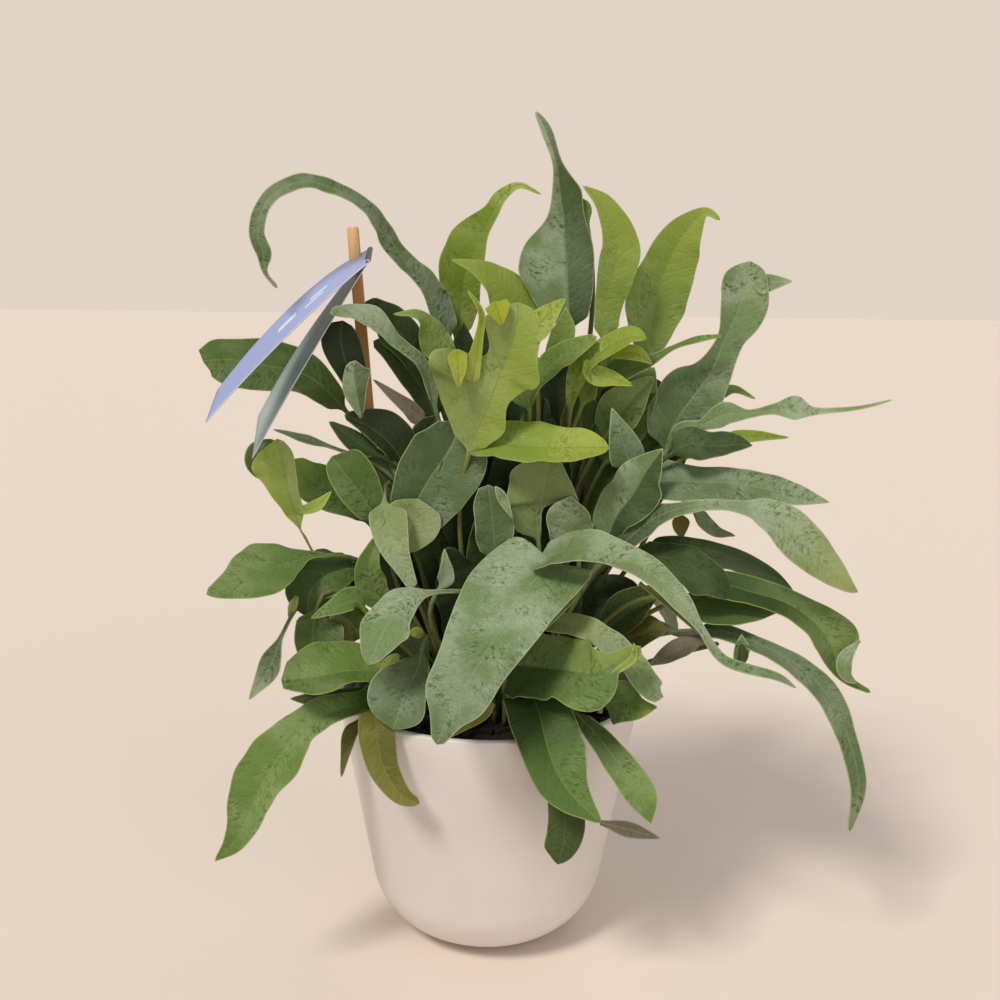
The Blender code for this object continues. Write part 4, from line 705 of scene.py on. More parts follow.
        (59, 17, 260, 4, 4)], tone=(-0.7,), wave=(5, 26)),
    leaf("shade_right_gap", "deep", [(60, 8, 195, 2.5, 2.5), (72, 8, 221, 13, 12), (86, 9, 238, 11, 10),
        (98, 9, 245, 1.5, 1.5)], wave=(5, 26)),
    leaf("shade_low_right", "shade", [(33, 0, 143, 2, 2), (43, -3, 163, 12, 11), (59, -6, 173, 11, 11),
        (73, -8, 176, 4, 4)], wave=(5, 26)),
    leaf("shade_low_middle", "shade", [(15, 0, 148, 2, 2), (27, 1, 173, 12, 12), (37, 4, 195, 1, 1)],
        wave=(5, 26)),
    leaf("shade_left_low", "shade", [(-35, 6, 140, 2, 2), (-44, 7, 166, 12, 12), (-47, 8, 192, 1, 1)],
        wave=(5, 26)),
    leaf("shade_left_mid", "shade", [(-20, 8, 134, 2, 2), (-24, 9, 164, 11, 11), (-28, 10, 193, 1, 1)],
        wave=(5, 26)),
    leaf("green_left_under", "green", [(-57, -14, 152, 2, 2), (-66, -17, 160, 10, 9), (-76, -20, 168, 8, 8),
        (-82, -22, 171, 1.5, 1.5)], tone=(-0.5, -0.6, -0.5), wave=(5, 26)),
    leaf("blue_s_ear", "glaucous", [(122, 4, 321, 5, 5), (130, 4, 323, 4.5, 4), (140, 3, 324, 0.5, 0.5)],
        fold=4, tone=(0.1,), stalk=False, wave=(2, 26)),
    leaf("green_gap_right", "green", [(53, 8, 232, 2, 2), (62, 7, 251, 12, 11), (71, 6, 270, 10, 9),
        (77, 4, 283, 1, 1)], tone=(-0.25, -0.1), wave=(5, 24)),
    leaf("bright_gap", "green", [(52, 3, 245, 2.5, 2.5), (62, 1, 262, 12, 10), (76, -1, 279, 1.5, 1.5)],
        tone=(-0.45, -0.1), halftone=(0.1, 0), wave=(5, 24)),
    leaf("beside_low", "glaucous", [(-61, -9, 259, 1, 1), (-63, -11, 272, 6, 5), (-64, -12, 282, 4, 8),
        (-63, -12, 286, 1, 4)], tone=(-0.45, -0.25), halftone=(0.1, -0.35), fold=2, stalk=False,
        wave=(1, 30)),
    leaf("shade_saddle", "deep", [(-71, 0, 142, 3, 3), (-76, 0, 164, 13, 12), (-73, 0, 188, 2, 2)],
        tone=(-0.3,), wave=(4, 26)),
    leaf("bright_bit", "young", [(42, 2, 262, 2, 2), (45, 2, 270, 5, 5), (49, 2, 277, 2, 2)],
        tone=(-0.5,), wave=(3, 24)),
    leaf("shade_spoon", "shade", [(-32, -20, 133, 4.5, 4.5), (-40, -17, 150, 11, 11), (-45, -14, 166, 3, 3)],
        wave=(5, 26)),
    leaf("shade_left_gap", "deep", [(-69, 6, 160, 3, 3), (-66, 6, 173, 7, 7), (-66, 6, 186, 1.5, 1.5)],
        wave=(5, 26)),
    frond("veined_right", "deep", [(52, 8, 244, 5, 5), (59, 6, 261, 11, 11), (68, 6, 268, 10, 10),
        (81, 6, 276, 2, 2)], face=(TILTED,)),
    frond("back_low", "deep", [(0, 62, 148, 4, 4), (0, 92, 150, 10, 10), (-2, 118, 128, 10, 10),
        (-4, 132, 98, 4, 4)], face=((0, 0.5, 0.85),)),
    frond("back_low_left", "green", [(-44, 44, 146, 4, 4), (-68, 64, 154, 10, 10), (-90, 80, 141, 10, 10),
        (-104, 92, 117, 4.5, 4.5)], face=((-0.3, 0.3, 0.9),)),
    frond("back_low_right", "glaucous", [(46, 46, 146, 4, 4), (72, 68, 156, 9, 9), (94, 84, 146, 9, 9),
        (106, 96, 122, 4, 4)], face=((0.3, 0.3, 0.9),)),
    frond("back_left", "glaucous", [(-38, 50, 200, 4, 4), (-58, 80, 222, 11, 11), (-76, 108, 212, 9, 9),
        (-86, 128, 188, 4, 4)], face=((-0.3, 0.4, 0.85),)),
    frond("back_middle", "green", [(-6, 60, 206, 4, 4), (-10, 92, 226, 12, 12), (-14, 120, 214, 11, 11),
        (-18, 142, 186, 4.5, 4.5)], face=((0, 0.5, 0.85),)),
    frond("back_right", "deep", [(36, 54, 212, 4, 4), (58, 82, 236, 11, 11), (78, 108, 232, 10, 10),
        (94, 130, 210, 4, 4)], face=((0.3, 0.4, 0.85),)),
    frond("back_tall", "glaucous", [(4, 50, 262, 4, 4), (6, 66, 292, 10, 10), (8, 84, 310, 8, 8),
        (12, 104, 314, 3, 3)], face=(TILTED, (0, -0.3, 0.95))),
    frond("back_tall_left", "deep", [(-24, 52, 254, 4, 4), (-36, 70, 278, 9, 9), (-48, 92, 286, 8, 8),
        (-58, 112, 276, 3, 3)], face=((-0.2, 0.1, 0.95),)),
]

INNER_FRONDS = 30
INNER_SPREAD, INNER_DRAW_IN = 46, 24     # the first stands this far out, and the last this much less
INNER_LOW, INNER_RISE = 168, 92          # the first is this high, and the last this much higher
INNER_DEPTH = 0.75                       # the clump's depth as a share of its width
BACK_FRONDS = 9
BACK_SIDE = 58                           # half the breadth over which they stand
BACK_TOP, BACK_STEP = 232, 26            # the tallest of three heights, and the step between them
GOLDEN_TURN = math.radians(137.5)
# share of the blade's length, share of its full half width
INNER_WIDTHS = ((0, 0.3), (0.2, 0.75), (0.45, 1.0), (0.7, 0.9), (0.9, 0.5), (1.0, 0.2))
# share of the way out to the side, way back, fall below the top, share of the full half width
BACK_ARCH = ((0.50, 20, 34, 0.35), (0.66, 34, 8, 0.8), (0.80, 48, 0, 1.0), (0.92, 62, 8, 1.0),
             (1.02, 74, 28, 0.85), (1.08, 81, 50, 0.4))


def filling_fronds():
    """Dark fronds, painted shade, that fill the middle of the clump, spread by the golden angle, and
    arching ones along its back."""
    rng = np.random.default_rng(3)
    rows = []
    for k in range(INNER_FRONDS):
        share = (k + 0.5) / INNER_FRONDS
        turn = k * GOLDEN_TURN
        out = np.array([math.cos(turn), INNER_DEPTH * math.sin(turn), 0.0])
        spread = INNER_SPREAD - INNER_DRAW_IN * share
        height = INNER_LOW + INNER_RISE * share + rng.uniform(-8, 8)
        half = rng.uniform(9, 12.5)
        start = out * spread * 0.6 + np.array([2, 8, height - 56])
        blade = [(*(start + out * spread * step * 0.6 + np.array([0, 0, 76 * step - 14 * step ** 2])),
                  half * width, half * width)
                 for step, width in INNER_WIDTHS]
        face = (-out[0] * 0.3, -0.8, 0.6)
        rows.append(leaf("inner_%02d" % k, "shade" if k % 3 else "deep", blade, face=(face,)))
    for k in range(BACK_FRONDS):
        side = BACK_SIDE * (2 * (k + 0.5) / BACK_FRONDS - 1)
        top = BACK_TOP - BACK_STEP * (k % 3) + rng.uniform(-6, 6)
        reach = 1.15 - 0.18 * (k % 2) + rng.uniform(-0.05, 0.05)
        half = rng.uniform(9.5, 12.5)
        blade = [(side * out, back * reach, top - fall, half * width, half * width)
                 for out, back, fall, width in BACK_ARCH]
        kind = ("green", "deep", "glaucous")[(k + k // 3) % 3]
        rows.append(leaf("back_%02d" % k, kind, blade, face=((0, 0.6, 0.8),), wave=(7, 26)))
    return rows


def half_section(width, fold, ripple):
    """Distance out from the midrib and height above it at each place across one half."""
    middle = (SIDE[1:] + SIDE[:-1]) / 2
    step = np.diff(SIDE)
    angle = np.radians(fold[:, None] + ripple[:, None] * middle ** 1.3)
    out = np.cumsum(width[:, None] * step * np.cos(angle), 1)
    up = np.cumsum(width[:, None] * step * np.sin(angle), 1)
    zero = np.zeros((len(width), 1))
    return np.hstack([zero, out]), np.hstack([zero, up])


def stalk_run(foot, blade):
    """The stalk rises from the compost and meets the blade in the blade's own direction."""
    start = unit(blade[1] - blade[0])
    reach = np.linalg.norm(blade[0] - foot)
    rise = foot + np.array([0, 0, reach * 0.4])
    lead = blade[0] - start * (reach * 0.3)
    t = np.linspace(0, 1, 40)[:, None]
    return (foot * (1 - t) ** 3 + rise * (3 * t * (1 - t) ** 2)
            + lead * (3 * t ** 2 * (1 - t)) + blade[0] * t ** 3)


def foot_of(row):
    """Where the stalk leaves the compost: under its blade, drawn in towards the middle of the pot."""
    foot = row["blade"][0][:2] * STALK_SPREAD
    length = np.linalg.norm(foot)
    if length > STALK_MOST:
        foot *= STALK_MOST / length
    return np.array([foot[0], foot[1], SOIL_TOP - 1.0])


def build_frond(row, seed, finish):
    """A stalk and a blade as one closed skin, with the places on it that its material reads."""
    rng = np.random.default_rng(seed)
    blade = smooth_run(np.hstack([row["blade"], row["halves"]]))
    blade_points, blade_at = even_points(blade, ROW_SPACING)
    spots, halves, at = blade_points[:, :3], blade_points[:, 3:], blade_at
    if row["stalk"]:
        stalk_points, stalk_at = even_points(stalk_run(foot_of(row), blade[:, :3]), STALK_SPACING)
        spots = np.vstack([stalk_points[:-1], spots])
        halves = np.vstack([np.repeat(halves[:1], len(stalk_points) - 1, 0), halves])
        at = np.concatenate([stalk_at[:-1] - stalk_at[-1], at])
    length = blade_at[-1]
    share = np.clip(at / length, 0, 1)

    ahead = unit(np.gradient(spots, at, axis=0))
    look = unit(read_run(row["face"], share))
    normal = unit(look - ahead * np.sum(look * ahead, 1, keepdims=True))
    across = np.cross(ahead, normal)

    # the ends: the blade widens out of the stalk and closes in a round tip
    flat = np.clip(at / row["neck"], 0, 1)
    flat = flat * flat * (3 - 2 * flat)
    sides = []
    for half in halves.T:
        width = np.maximum(half, LEAST_HALF)
        cap = max(2.0, 0.9 * half[-1])
        inner = np.clip((length - at) / cap, 0, 1)
        width = np.maximum(width * np.sqrt(1 - (1 - inner) ** 2), TIP_HALF)
        degrees, pitch = row["wave"]
        swell = 1 + SWELL_PER_DEGREE * degrees * np.sin(2 * np.pi * at / rng.uniform(11, 17)
                                                        + rng.uniform(0, ANY_PHASE))
        width = STALK_RADIUS + (width * swell - STALK_RADIUS) * flat
        ripple = degrees * (np.sin(2 * np.pi * at / pitch + rng.uniform(0, ANY_PHASE))
                            + FINE_RIPPLE * np.sin(2 * np.pi * at / (pitch * FINE_PITCH)
                                                   + rng.uniform(0, ANY_PHASE)))
        fold = np.full(len(at), float(row["fold"]))
        out, up = half_section(width, fold * flat, ripple * flat)
        sides.append((width, out, up))
    (left_width, left_out, left_up), (right_width, right_out, right_up) = sides
    offset = np.hstack([-left_out[:, :0:-1], right_out])
    height = np.hstack([left_up[:, :0:-1], right_up])
    span = np.concatenate([-SIDE[:0:-1], SIDE])
    reach_mm = np.where(span < 0, span * left_width[:, None], span * right_width[:, None])
    full = np.where(span < 0, left_width[:, None], right_width[:, None])

    lean = np.radians(read_run(row["sweep"], share))[:, None] * flat[:, None]
    sideways = across[:, None] * (offset * np.cos(lean))[..., None]
    backwards = ahead[:, None] * (np.abs(offset) * np.sin(lean))[..., None]
    middle = spots[:, None] + sideways - backwards + normal[:, None] * height[..., None]
    lengthwise = np.gradient(middle, axis=0)
    sidewise = np.gradient(middle, axis=1)
    skin = unit(np.cross(sidewise, lengthwise))
    thick = MARGIN_THICK + (HALF_THICK - MARGIN_THICK) * (1 - span ** 2)
    rib = np.exp(-(reach_mm / RIB_HALF) ** 2) * (RIB_DEPTH * (1 - share[:, None]) + RIB_TIP)
    top = middle + skin * thick[None, :, None]
    bottom = middle - skin * (thick[None] + rib)[..., None]

    # the stalk is a round rod, and the blade's two skins grow out of it
    angle = span * math.pi / 2 * ROD_REACH
    girth = STALK_RADIUS * (1 + STALK_SWELL * np.clip(-at / STALK_SWELL_LENGTH, 0, 1))
    rod_out = girth[:, None] * np.sin(angle)
    rod_up = girth[:, None] * np.cos(angle)
    side_way = across[:, None] * rod_out[..., None]
    rod_top = spots[:, None] + side_way + normal[:, None] * rod_up[..., None]
    rod_bottom = spots[:, None] + side_way - normal[:, None] * rod_up[..., None]
    mix = flat[:, None, None]
    top = rod_top * (1 - mix) + top * mix
    bottom = rod_bottom * (1 - mix) + bottom * mix

    rings = np.concatenate([top, bottom[:, ::-1]], 1)
    rows, ring = rings.shape[:2]
    mesh = mesh_from(row["name"], rings.reshape(-1, 3) * MM, tube_faces(rows, ring))
    inside = (full - np.abs(reach_mm)) + 5 * (1 - flat[:, None])
    inside = np.minimum(inside, np.abs(length - at)[:, None] + 0.2)
    along = np.broadcast_to(at[:, None], reach_mm.shape)
    place = np.stack([reach_mm, along, inside], -1)
    # painted light and shade: each half of the blade is painted lighter or darker by its own amount
    left_tone, right_tone = row["halftone"]
    tone = read_run(row["tone"], share)[:, None] + np.where(span < 0, left_tone, right_tone)
    shares = np.broadcast_to(share[:, None], reach_mm.shape)
    upper = np.stack([np.ones_like(reach_mm), shares, tone], -1)
    lower = np.stack([np.zeros_like(reach_mm), shares, tone], -1)
    give(mesh, "blade_mm", np.concatenate([place, place[:, ::-1]], 1).reshape(-1, 3))
    give(mesh, "blade_state", np.concatenate([upper, lower[:, ::-1]], 1).reshape(-1, 3))
    piece = add_piece(row["name"] + "_frond", mesh, finish)
    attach(piece, "root")
    if not row["alone"]:
        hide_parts("frond_" + row["name"])


# ------------------------------------------------------------------ pots

POT_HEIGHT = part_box("cover_pot")[1].z
POT_RIM_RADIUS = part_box("cover_pot")[1].x
POT_TAPER = 0.179
POT_CORNER_RADIUS = 0.037
POT_WALL = 0.0035
POT_LIP = 0.0012
TURNED_SIDES = 180


def turned(name, outline, sides=TURNED_SIDES):
    """A closed solid of revolution; outline runs from the axis at the foot round to the axis."""
    turn = np.linspace(0, 2 * math.pi, sides, endpoint=False)
    points, starts = [], []
    for radius, height in outline:
        starts.append(len(points))
        if radius < 1e-6:
            points.append((0, 0, height))
        else:
            points += [(radius * math.cos(a), radius * math.sin(a), height) for a in turn]
    faces = []
    for (low, high), (inner, outer) in zip(zip(starts, starts[1:]), zip(outline, outline[1:])):
        for k in range(sides):
            j = (k + 1) % sides
            if inner[0] < 1e-6:
                faces.append((low, high + j, high + k))
            elif outer[0] < 1e-6:
                faces.append((low + k, low + j, high))
            else:
                faces.append((low + k, low + j, high + j, high + k))
    return mesh_from(name, points, faces)


def pot_side(inset, steps=28):
    """The cover pot's wall from the foot to the rim, inset from its outer face."""
    lean = math.atan(POT_TAPER)
    wall_at_centre = POT_RIM_RADIUS - (POT_HEIGHT - POT_CORNER_RADIUS) * POT_TAPER
    centre = wall_at_centre - POT_CORNER_RADIUS / math.cos(lean)
    turn = np.linspace(-math.pi / 2, -lean, steps)
    radius = POT_CORNER_RADIUS - inset
    curve = [(centre + radius * math.cos(a), POT_CORNER_RADIUS + radius * math.sin(a)) for a in turn]
    rim = POT_RIM_RADIUS - inset / math.cos(lean)
    foot = curve[-1]
    wall = [(foot[0] + (rim - foot[0]) * k / 12, foot[1] + (POT_HEIGHT - POT_LIP - foot[1]) * k / 12)
            for k in range(1, 13)]
    return curve + wall


def cover_pot(finish):
    """The glazed pot: its outer wall, a rounded lip and its inner wall."""
    outer = pot_side(0)
    inner = pot_side(POT_WALL)
    middle = (outer[-1][0] + inner[-1][0]) / 2
    half = (outer[-1][0] - inner[-1][0]) / 2
    lip = [(middle + half * math.cos(a), POT_HEIGHT - POT_LIP + POT_LIP * math.sin(a))
           for a in np.linspace(0, math.pi, 13)[1:-1]]
    outline = [(0, 0)] + outer + lip + inner[::-1] + [(0, inner[0][1])]
    piece = add_piece("glazed_cover_pot", turned("glazed_cover_pot", outline), finish)
    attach(piece, "root")
    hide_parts("cover_pot")


NURSERY_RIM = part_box("grow_pot")[1]
NURSERY_BASE_RADIUS = 0.040
NURSERY_WALL = 0.0012


def nursery_pot(finish):
    """The thin black pot inside the cover pot."""
    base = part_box("grow_pot")[0].z
    top, rim = NURSERY_RIM.z, NURSERY_RIM.x
    slope = (rim - 0.0022 - NURSERY_BASE_RADIUS) / (top - base)
    outline = [(0, base), (NURSERY_BASE_RADIUS - 0.001, base), (NURSERY_BASE_RADIUS, base + 0.001)]
    outline += [(NURSERY_BASE_RADIUS + slope * (z - base), z)
                for z in np.linspace(base + 0.01, top - 0.0075, 8)]
    outline += [(rim - 0.0022, top - 0.0062), (rim - 0.0006, top - 0.006), (rim - 0.0003, top - 0.005),
                (rim, top - 0.0010), (rim - 0.0004, top - 0.0002), (rim - 0.0012, top),
                (rim - 0.0026, top - 0.0001), (rim - 0.0033, top - 0.0008)]
    outline += [(NURSERY_BASE_RADIUS + slope * (z - base) - NURSERY_WALL, z)
                for z in np.linspace(top - 0.004, base + NURSERY_WALL + 0.001, 9)]
    outline += [(NURSERY_BASE_RADIUS - NURSERY_WALL - 0.001, base + NURSERY_WALL), (0, base + NURSERY_WALL)]
    piece = add_piece("black_grow_pot", turned("black_grow_pot", outline), finish)
    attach(piece, "root")
    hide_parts("grow_pot")


# ------------------------------------------------------------------ compost, rhizomes, stake and tag

SOIL_LOW, SOIL_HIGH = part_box("soil")
SOIL_EDGE = 0.004            # the compost sinks over this width at the pot's wall
CHIPS = 260
CHIP_FACES = ((0, 1, 3, 2), (4, 6, 7, 5), (0, 4, 5, 1), (2, 3, 7, 6), (0, 2, 6, 4), (1, 5, 7, 3))


def compost(finish, chip_finish):
    """The compost's uneven top inside the black pot, and loose bark chips on it."""
    low, high = SOIL_LOW.z, SOIL_HIGH.z
    base_radius = NURSERY_BASE_RADIUS + (SOIL_HIGH.x - NURSERY_BASE_RADIUS) * 0.05 - 0.002
    top = [(radius, high) for radius in np.linspace(SOIL_HIGH.x, 0.0, 34)]
    mesh = turned("bark_compost", [(0, low), (base_radius, low)] + top)
    for vertex in mesh.vertices:
        if vertex.co.z > high - 1e-5:
            spot = vertex.co * 1000
            lumps = 1.3 * noise.noise(spot * 0.16) + 0.8 * noise.noise(spot * 0.45) - 0.7
            edge = max(0.0, vertex.co.xy.length - SOIL_HIGH.x + SOIL_EDGE) / SOIL_EDGE
            vertex.co.z += (lumps - 1.2 * edge) * MM
    ground = add_piece("bark_compost", mesh, finish)
    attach(ground, "root")
    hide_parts("soil")

    rng = np.random.default_rng(7)
    points, faces = [], []
    for _ in range(CHIPS):
        radius = (SOIL_HIGH.x / MM - 4) * math.sqrt(rng.uniform(0, 1))
        turn = rng.uniform(0, 2 * math.pi)
        size = np.array([rng.uniform(3, 8), rng.uniform(2, 4.5), rng.uniform(0.8, 1.8)]) / 2
        pose = (Matrix.Rotation(rng.uniform(0, ANY_PHASE), 3, 'Z')
                @ Matrix.Rotation(rng.uniform(-0.45, 0.45), 3, 'X')
                @ Matrix.Rotation(rng.uniform(-0.35, 0.35), 3, 'Y'))
        centre = np.array([radius * math.cos(turn), radius * math.sin(turn),
                           high / MM + rng.uniform(-0.6, 0.9)])
        corners = np.array([(x, y, z) for x in (-1, 1) for y in (-1, 1) for z in (-1, 1)], float)
        corners *= size * rng.uniform(0.65, 1.0, (8, 3))
        start = len(points)
        points += ((corners @ np.array(pose).T + centre) * MM).tolist()
        faces += [tuple(start + i for i in face) for face in CHIP_FACES]
    chips = add_piece("loose_bark_chips", mesh_from("loose_bark_chips", points, faces), chip_finish)
    chips.data.shade_flat()
    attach(chips, "root")


# each rhizome follows the pot's edge between two angles, and its tip lifts
RHIZOMES = (("left", 176, 224, 2.0), ("back", 60, 112, 3.0), ("right", -8, 38, 2.0))
RHIZOME_RING = 52.0
RHIZOME_RADIUS = 4.5
SCALES = 110
SCALE_FACES = ((0, 1, 4), (1, 2, 4), (2, 3, 4), (3, 0, 4), (0, 3, 1), (1, 3, 2))


def rhizome(name, start, end, lift, finish):
    """A creeping stem with overlapping papery scales along it."""
    rng = np.random.default_rng(start + 400)
    steps, sides = 44, 20
    share = np.linspace(0, 1, steps)
    turn = np.radians(start + (end - start) * share)
    radius = RHIZOME_RADIUS * (0.55 + 0.45 * np.sin(math.pi * np.minimum(1.0, 0.15 + share)) ** 0.5)
    radius *= np.sqrt(np.clip(1 - (np.abs(share - 0.5) * 2) ** 12, 0.0, 1)) * 0.9
    radius = np.maximum(radius, 0.3)
    centre = np.stack([RHIZOME_RING * np.cos(turn), RHIZOME_RING * np.sin(turn),
                       SOIL_TOP + RHIZOME_RADIUS + lift * share ** 2], 1)
    out = np.stack([np.cos(turn), np.sin(turn), 0 * turn], 1)
    around = np.linspace(0, 2 * math.pi, sides, endpoint=False)
    ring = (out[:, None] * np.cos(around)[:, None] + np.array([0, 0, 1]) * np.sin(around)[:, None])
    points = (centre[:, None] + ring * radius[:, None, None]).reshape(-1, 3).tolist()
    faces = tube_faces(steps, sides)
    for _ in range(SCALES):
        i, angle = rng.integers(2, steps - 5), rng.uniform(-0.4, math.pi + 0.4)
        way = unit(centre[i + 1] - centre[i])
        normal = out[i] * math.cos(angle) + np.array([0, 0, 1]) * math.sin(angle)
        side = np.cross(way, normal)
        root = centre[i] + normal * (radius[i] - 0.25)
        length, half = rng.uniform(2.2, 3.8), rng.uniform(0.5, 0.9)
        tip = root + way * length + normal * rng.uniform(0.3, 0.9)
        middle = root + way * length * 0.45 + normal * 0.35
        first = len(points)
        points += [list(p) for p in (root - normal * 0.2, middle + side * half, tip, middle - side * half,
                                     middle + normal * 0.22)]
        faces += [tuple(first + k for k in face) for face in SCALE_FACES]
    piece = add_piece(name + "_rhizome", mesh_from(name, np.array(points) * MM, faces), finish)
    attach(piece, "root")
    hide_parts("rhizome_" + name)


STAKE_FOOT = Vector((-0.0440, 0.014, 0.045))
STAKE_TOP = Vector((-0.0657, 0.006, 0.3465))
STAKE_HALF = 0.0026
STAKE_EASE = 0.00055         # radius of its eased edges
STAKE_CROWN = 0.0011         # height of its rounded top
STAKE_AXIS = (STAKE_TOP - STAKE_FOOT).normalized()
STAKE_SIDE = STAKE_AXIS.cross(Vector((0, 1, 0))).normalized()
STAKE_FRONT = STAKE_SIDE.cross(STAKE_AXIS)


def stake(finish):
    """A square stick with its long edges eased and its top rounded off."""
    section = []
    for sx, sy in ((1, 1), (-1, 1), (-1, -1), (1, -1)):
        start = math.atan2(sy, sx) - math.pi / 4
        for k in range(4):
            turn = start + math.pi / 2 * k / 3
            section.append((sx * (STAKE_HALF - STAKE_EASE) + STAKE_EASE * math.cos(turn),
                            sy * (STAKE_HALF - STAKE_EASE) + STAKE_EASE * math.sin(turn)))
    length = (STAKE_TOP - STAKE_FOOT).length
    stations = [(length * k / 40, 1.0) for k in range(39)]
    stations += [(length - STAKE_CROWN * (1 - math.sin(a)), 0.62 + 0.38 * math.cos(a))
                 for a in np.linspace(0, math.pi / 2, 7)]
    points = [STAKE_FOOT + STAKE_AXIS * at + STAKE_SIDE * (x * scale) + STAKE_FRONT * (y * scale)
              for at, scale in stations for x, y in section]
    mesh = mesh_from("birch_stake", points, tube_faces(len(stations), len(section)))
    piece = add_piece("birch_stake", mesh, finish)
    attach(piece, "root")
    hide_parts("stake")


# far and near edge of each flap, from the fold down to its end
TAG_FLAPS = (
    ([(-57, 12, 337), (-88, -12, 314), (-120, -43, 275)],
     [(-56, -9, 331), (-89, -32, 300), (-122, -58, 263)]),
    ([(-59, 12, 334), (-86, -2, 298), (-108, -14, 260)],
     [(-58, -9, 329), (-84, -20, 286), (-108, -31, 243)]),
)
TAG_THICKNESS = 0.5
TAG_FOLD_OUT = 1.6
TAG_HOLE_RADIUS = 3.9
CARD_HALF = 10.9
CARD_COLUMNS = 13
# each plain bar's start and end down the flap, and its low and high edge across it
CARD_BARS = ((30, 41, -1.8, 0.0), (32, 44, 1.0, 2.6), (50, 62, -1.6, 1.4))


def bow(points, shares):
    """Points at shares of a gentle curve through three points."""
    first, middle, last = (np.array(p, float) for p in points)
    control = middle * 2 - (first + last) / 2
    t = shares[:, None]
    return first * (1 - t) ** 2 + control * (2 * t * (1 - t)) + last * t ** 2


def tag(finish):
    """One folded card of two bowed flaps that share a rounded fold."""
    shares = np.linspace(0, 1, 30)
    (far, near), (far_back, near_back) = ((bow(a, shares), bow(b, shares)) for a, b in TAG_FLAPS)
    gap_far, gap_near = far_back[0] - far[0], near_back[0] - near[0]
    over = unit(gap_far + gap_near)
    outward = unit(np.cross(over, far[0] - near[0]))
    if outward[2] < 0:
        outward = -outward
    turns = np.linspace(0, math.pi, 11)[1:-1]
    crown_far = [far[0] + gap_far * (1 - math.cos(a)) / 2 + outward * TAG_FOLD_OUT * math.sin(a)
                 for a in turns]
    crown_near = [near[0] + gap_near * (1 - math.cos(a)) / 2 + outward * TAG_FOLD_OUT * math.sin(a)
                  for a in turns]
    far_edge = np.vstack([far[::-1], crown_far, far_back])
    near_edge = np.vstack([near[::-1], crown_near, near_back])
    fold_at = len(far) + len(turns) // 2
    middle = (far_edge + near_edge) / 2
    at = np.concatenate([[0], np.cumsum(np.linalg.norm(np.diff(middle, axis=0), axis=1))])
    down = np.abs(at - at[fold_at])
    columns = np.linspace(0, 1, CARD_COLUMNS)
    sheet = far_edge[:, None] * (1 - columns[:, None]) + near_edge[:, None] * columns[:, None]
    skin = unit(np.cross(np.gradient(sheet, axis=1), np.gradient(sheet, axis=0)))
    if skin[fold_at, CARD_COLUMNS // 2] @ outward < 0:
        skin = -skin
    outer = sheet + skin * TAG_THICKNESS / 2
    inner = sheet - skin * TAG_THICKNESS / 2
    rings = np.concatenate([outer, inner[:, ::-1]], 1)
    rows, ring = rings.shape[:2]
    mesh = mesh_from("printed_card_tag", rings.reshape(-1, 3) * MM, tube_faces(rows, ring))
    shape = (rows, CARD_COLUMNS)
    across = np.broadcast_to((columns - 0.5) * 2 * CARD_HALF, shape)
    down = np.broadcast_to(down[:, None], shape)
    sides = [np.stack([across, down, np.full(shape, value)], -1) for value in (0.0, 1.0)]
    card_mm = np.concatenate([sides[0], sides[1][:, ::-1]], 1).reshape(-1, 3)
    nearest = KDTree(len(card_mm))
    for index, vertex in enumerate(mesh.vertices):
        nearest.insert(vertex.co, index)
    nearest.balance()
    piece = add_piece("printed_card_tag", mesh, finish)

    # This only draws the outline of a bore round the stake on both flaps. The card inside it isn't
    # taken away, so the stake passes through card and not through an open hole.
    angles = np.linspace(0, 2 * math.pi, 40, endpoint=False)
    bore = [STAKE_TOP + STAKE_AXIS * reach
            + (STAKE_SIDE * math.cos(a) + STAKE_FRONT * math.sin(a)) * TAG_HOLE_RADIUS * MM
            for reach in (-0.05, 0.02) for a in angles]
    cutter = add_piece("tag_bore", mesh_from("tag_bore", bore, tube_faces(2, len(angles))), finish)
    cutting = piece.modifiers.new("bore", 'BOOLEAN')
    cutting.operation, cutting.solver, cutting.object = 'DIFFERENCE', 'EXACT', cutter
    bpy.context.view_layer.update()
    cut_piece = piece.evaluated_get(bpy.context.evaluated_depsgraph_get())
    piece.data = bpy.data.meshes.new_from_object(cut_piece)
    piece.modifiers.clear()
    bpy.data.objects.remove(cutter)
    give(piece.data, "card_mm", [card_mm[nearest.find(vertex.co)[1]] for vertex in piece.data.vertices])
    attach(piece, "root")
    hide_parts("plant_tag")


# ------------------------------------------------------------------ stage, light and camera

FLOOR_HALF = 6.0             # metres
CAMERA_PLACE = (0, -0.567, 0.336)
CAMERA_LENS = 43.2           # on a sensor 36 wide
CAMERA_TURN, CAMERA_DOWN, CAMERA_ROLL = -0.45, 11.7, 0.70


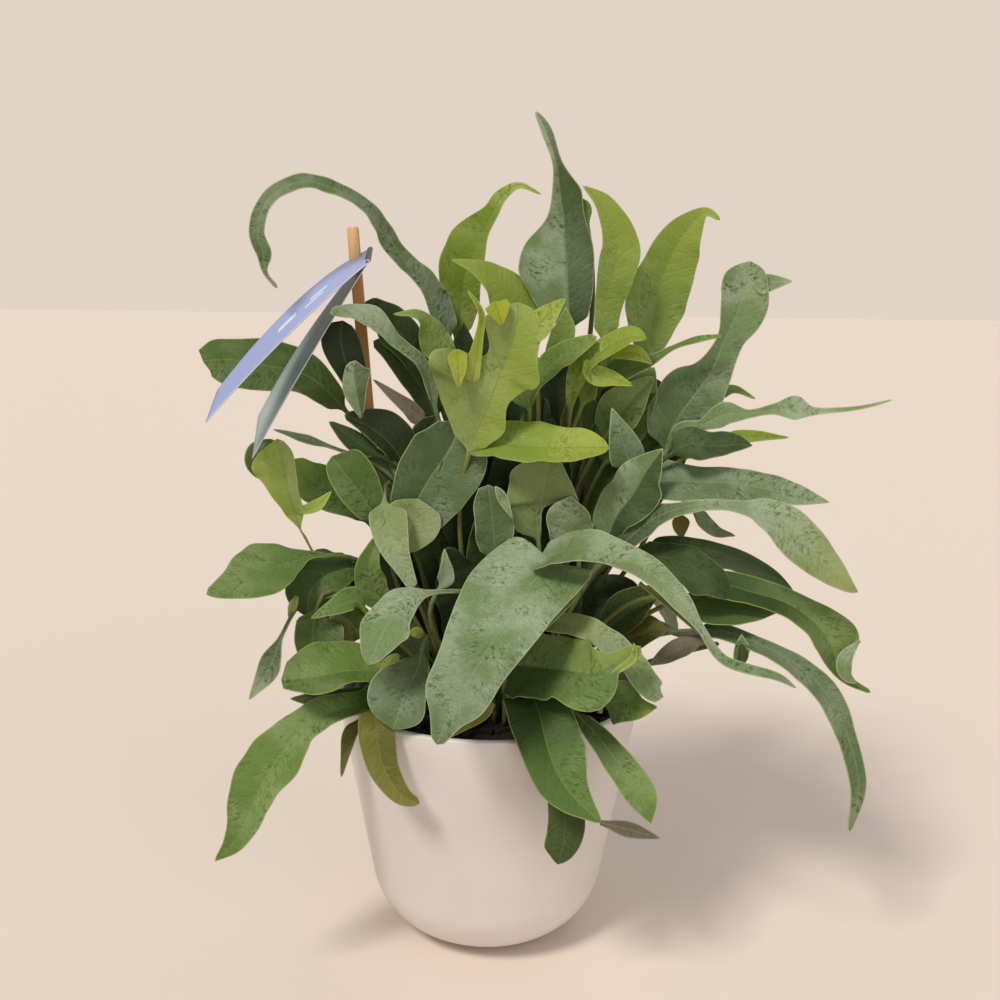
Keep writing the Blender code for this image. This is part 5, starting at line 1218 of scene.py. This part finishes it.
def stage():
    """A pale floor, a weak light from all round, and a backdrop that is seen but doesn't light."""
    corners = [(x * FLOOR_HALF, y * FLOOR_HALF, 0) for x, y in ((-1, -1), (1, -1), (1, 1), (-1, 1))]
    mesh = mesh_from("studio_floor", corners, [(0, 1, 2, 3)])
    floor = bpy.data.objects.new("studio_floor", mesh)
    bpy.context.scene.collection.objects.link(floor)
    made, tree, shader = new_material("pale_studio_floor", 0.9)
    shader.inputs["Base Color"].default_value = linear("#e9dbd0")
    mesh.materials.append(made)

    world = bpy.data.worlds.new("studio")
    bpy.context.scene.world = world
    world.use_nodes = True
    tree = world.node_tree
    tree.nodes.clear()
    rays = tree.nodes.new("ShaderNodeLightPath").outputs
    light = add_node(tree, "ShaderNodeBackground", {"Color": "#f6f3ef", "Strength": 0.42})
    backdrop = add_node(tree, "ShaderNodeBackground", {"Color": "#e2d3c7", "Strength": 1.0})
    shown = add_node(tree, MATH, {0: rays["Is Camera Ray"], 1: rays["Is Glossy Ray"]}, operation='MAXIMUM')
    shown = add_node(tree, MATH, {0: shown, 1: rays["Is Transmission Ray"]}, operation='MAXIMUM')
    both = add_node(tree, "ShaderNodeMixShader", {0: shown, 1: light, 2: backdrop})
    output = tree.nodes.new("ShaderNodeOutputWorld")
    tree.links.new(both, output.inputs["Surface"])


def studio_sun(name, place, strength, spread, colour):
    """A broad soft lamp that shines from its place towards the middle of the stage."""
    lamp = bpy.data.lights.new(name, 'SUN')
    lamp.energy = strength
    lamp.angle = math.radians(spread)
    lamp.color = linear(colour)[:3]
    holder = bpy.data.objects.new(name, lamp)
    holder.location = place
    holder.rotation_euler = (-Vector(place)).to_track_quat('-Z', 'Y').to_euler()
    bpy.context.scene.collection.objects.link(holder)


def lights():
    """A broad key from the upper left, a wide fill from the right and a weak light from behind."""
    studio_sun("key", (-0.75, -0.95, 1.4), 1.92, 14, "#fffaf2")
    studio_sun("fill", (0.7, -1.0, 0.45), 0.6, 60, "#ffffff")
    studio_sun("back", (0.6, 1.2, 1.3), 0.35, 40, "#fffaf4")


def camera():
    view = bpy.data.cameras.new("view")
    view.lens = CAMERA_LENS
    view.sensor_width = 36.0
    view.clip_start = 0.01
    holder = bpy.data.objects.new("view", view)
    holder.matrix_world = (Matrix.Translation(CAMERA_PLACE)
                           @ Matrix.Rotation(math.radians(CAMERA_TURN), 4, 'Z')
                           @ Matrix.Rotation(math.radians(90 - CAMERA_DOWN), 4, 'X')
                           @ Matrix.Rotation(math.radians(CAMERA_ROLL), 4, 'Z'))
    bpy.context.scene.collection.objects.link(holder)
    bpy.context.scene.camera = holder


def main():
    stage()
    lights()
    camera()
    cover_pot(glaze_material())
    nursery_pot(polypropylene_material())
    # painted shade: the compost and chips are darker than bark, near black, for the shade inside the pot
    compost(bark_material("bark_compost_painted_shade", "#0e0b09", "#201914"),
            bark_material("bark_chip", "#100d0b", "#261e17"))
    scaly = rhizome_material()
    for name, start, end, lift in RHIZOMES:
        rhizome(name, start, end, lift, scaly)
    stake(birch_material())
    tag(card_material())
    finishes = {kind: leaf_material(kind) for kind in LEAF_KINDS}
    for seed, row in enumerate(FRONDS + filling_fronds()):
        build_frond(row, seed, finishes[row["kind"]])


main()
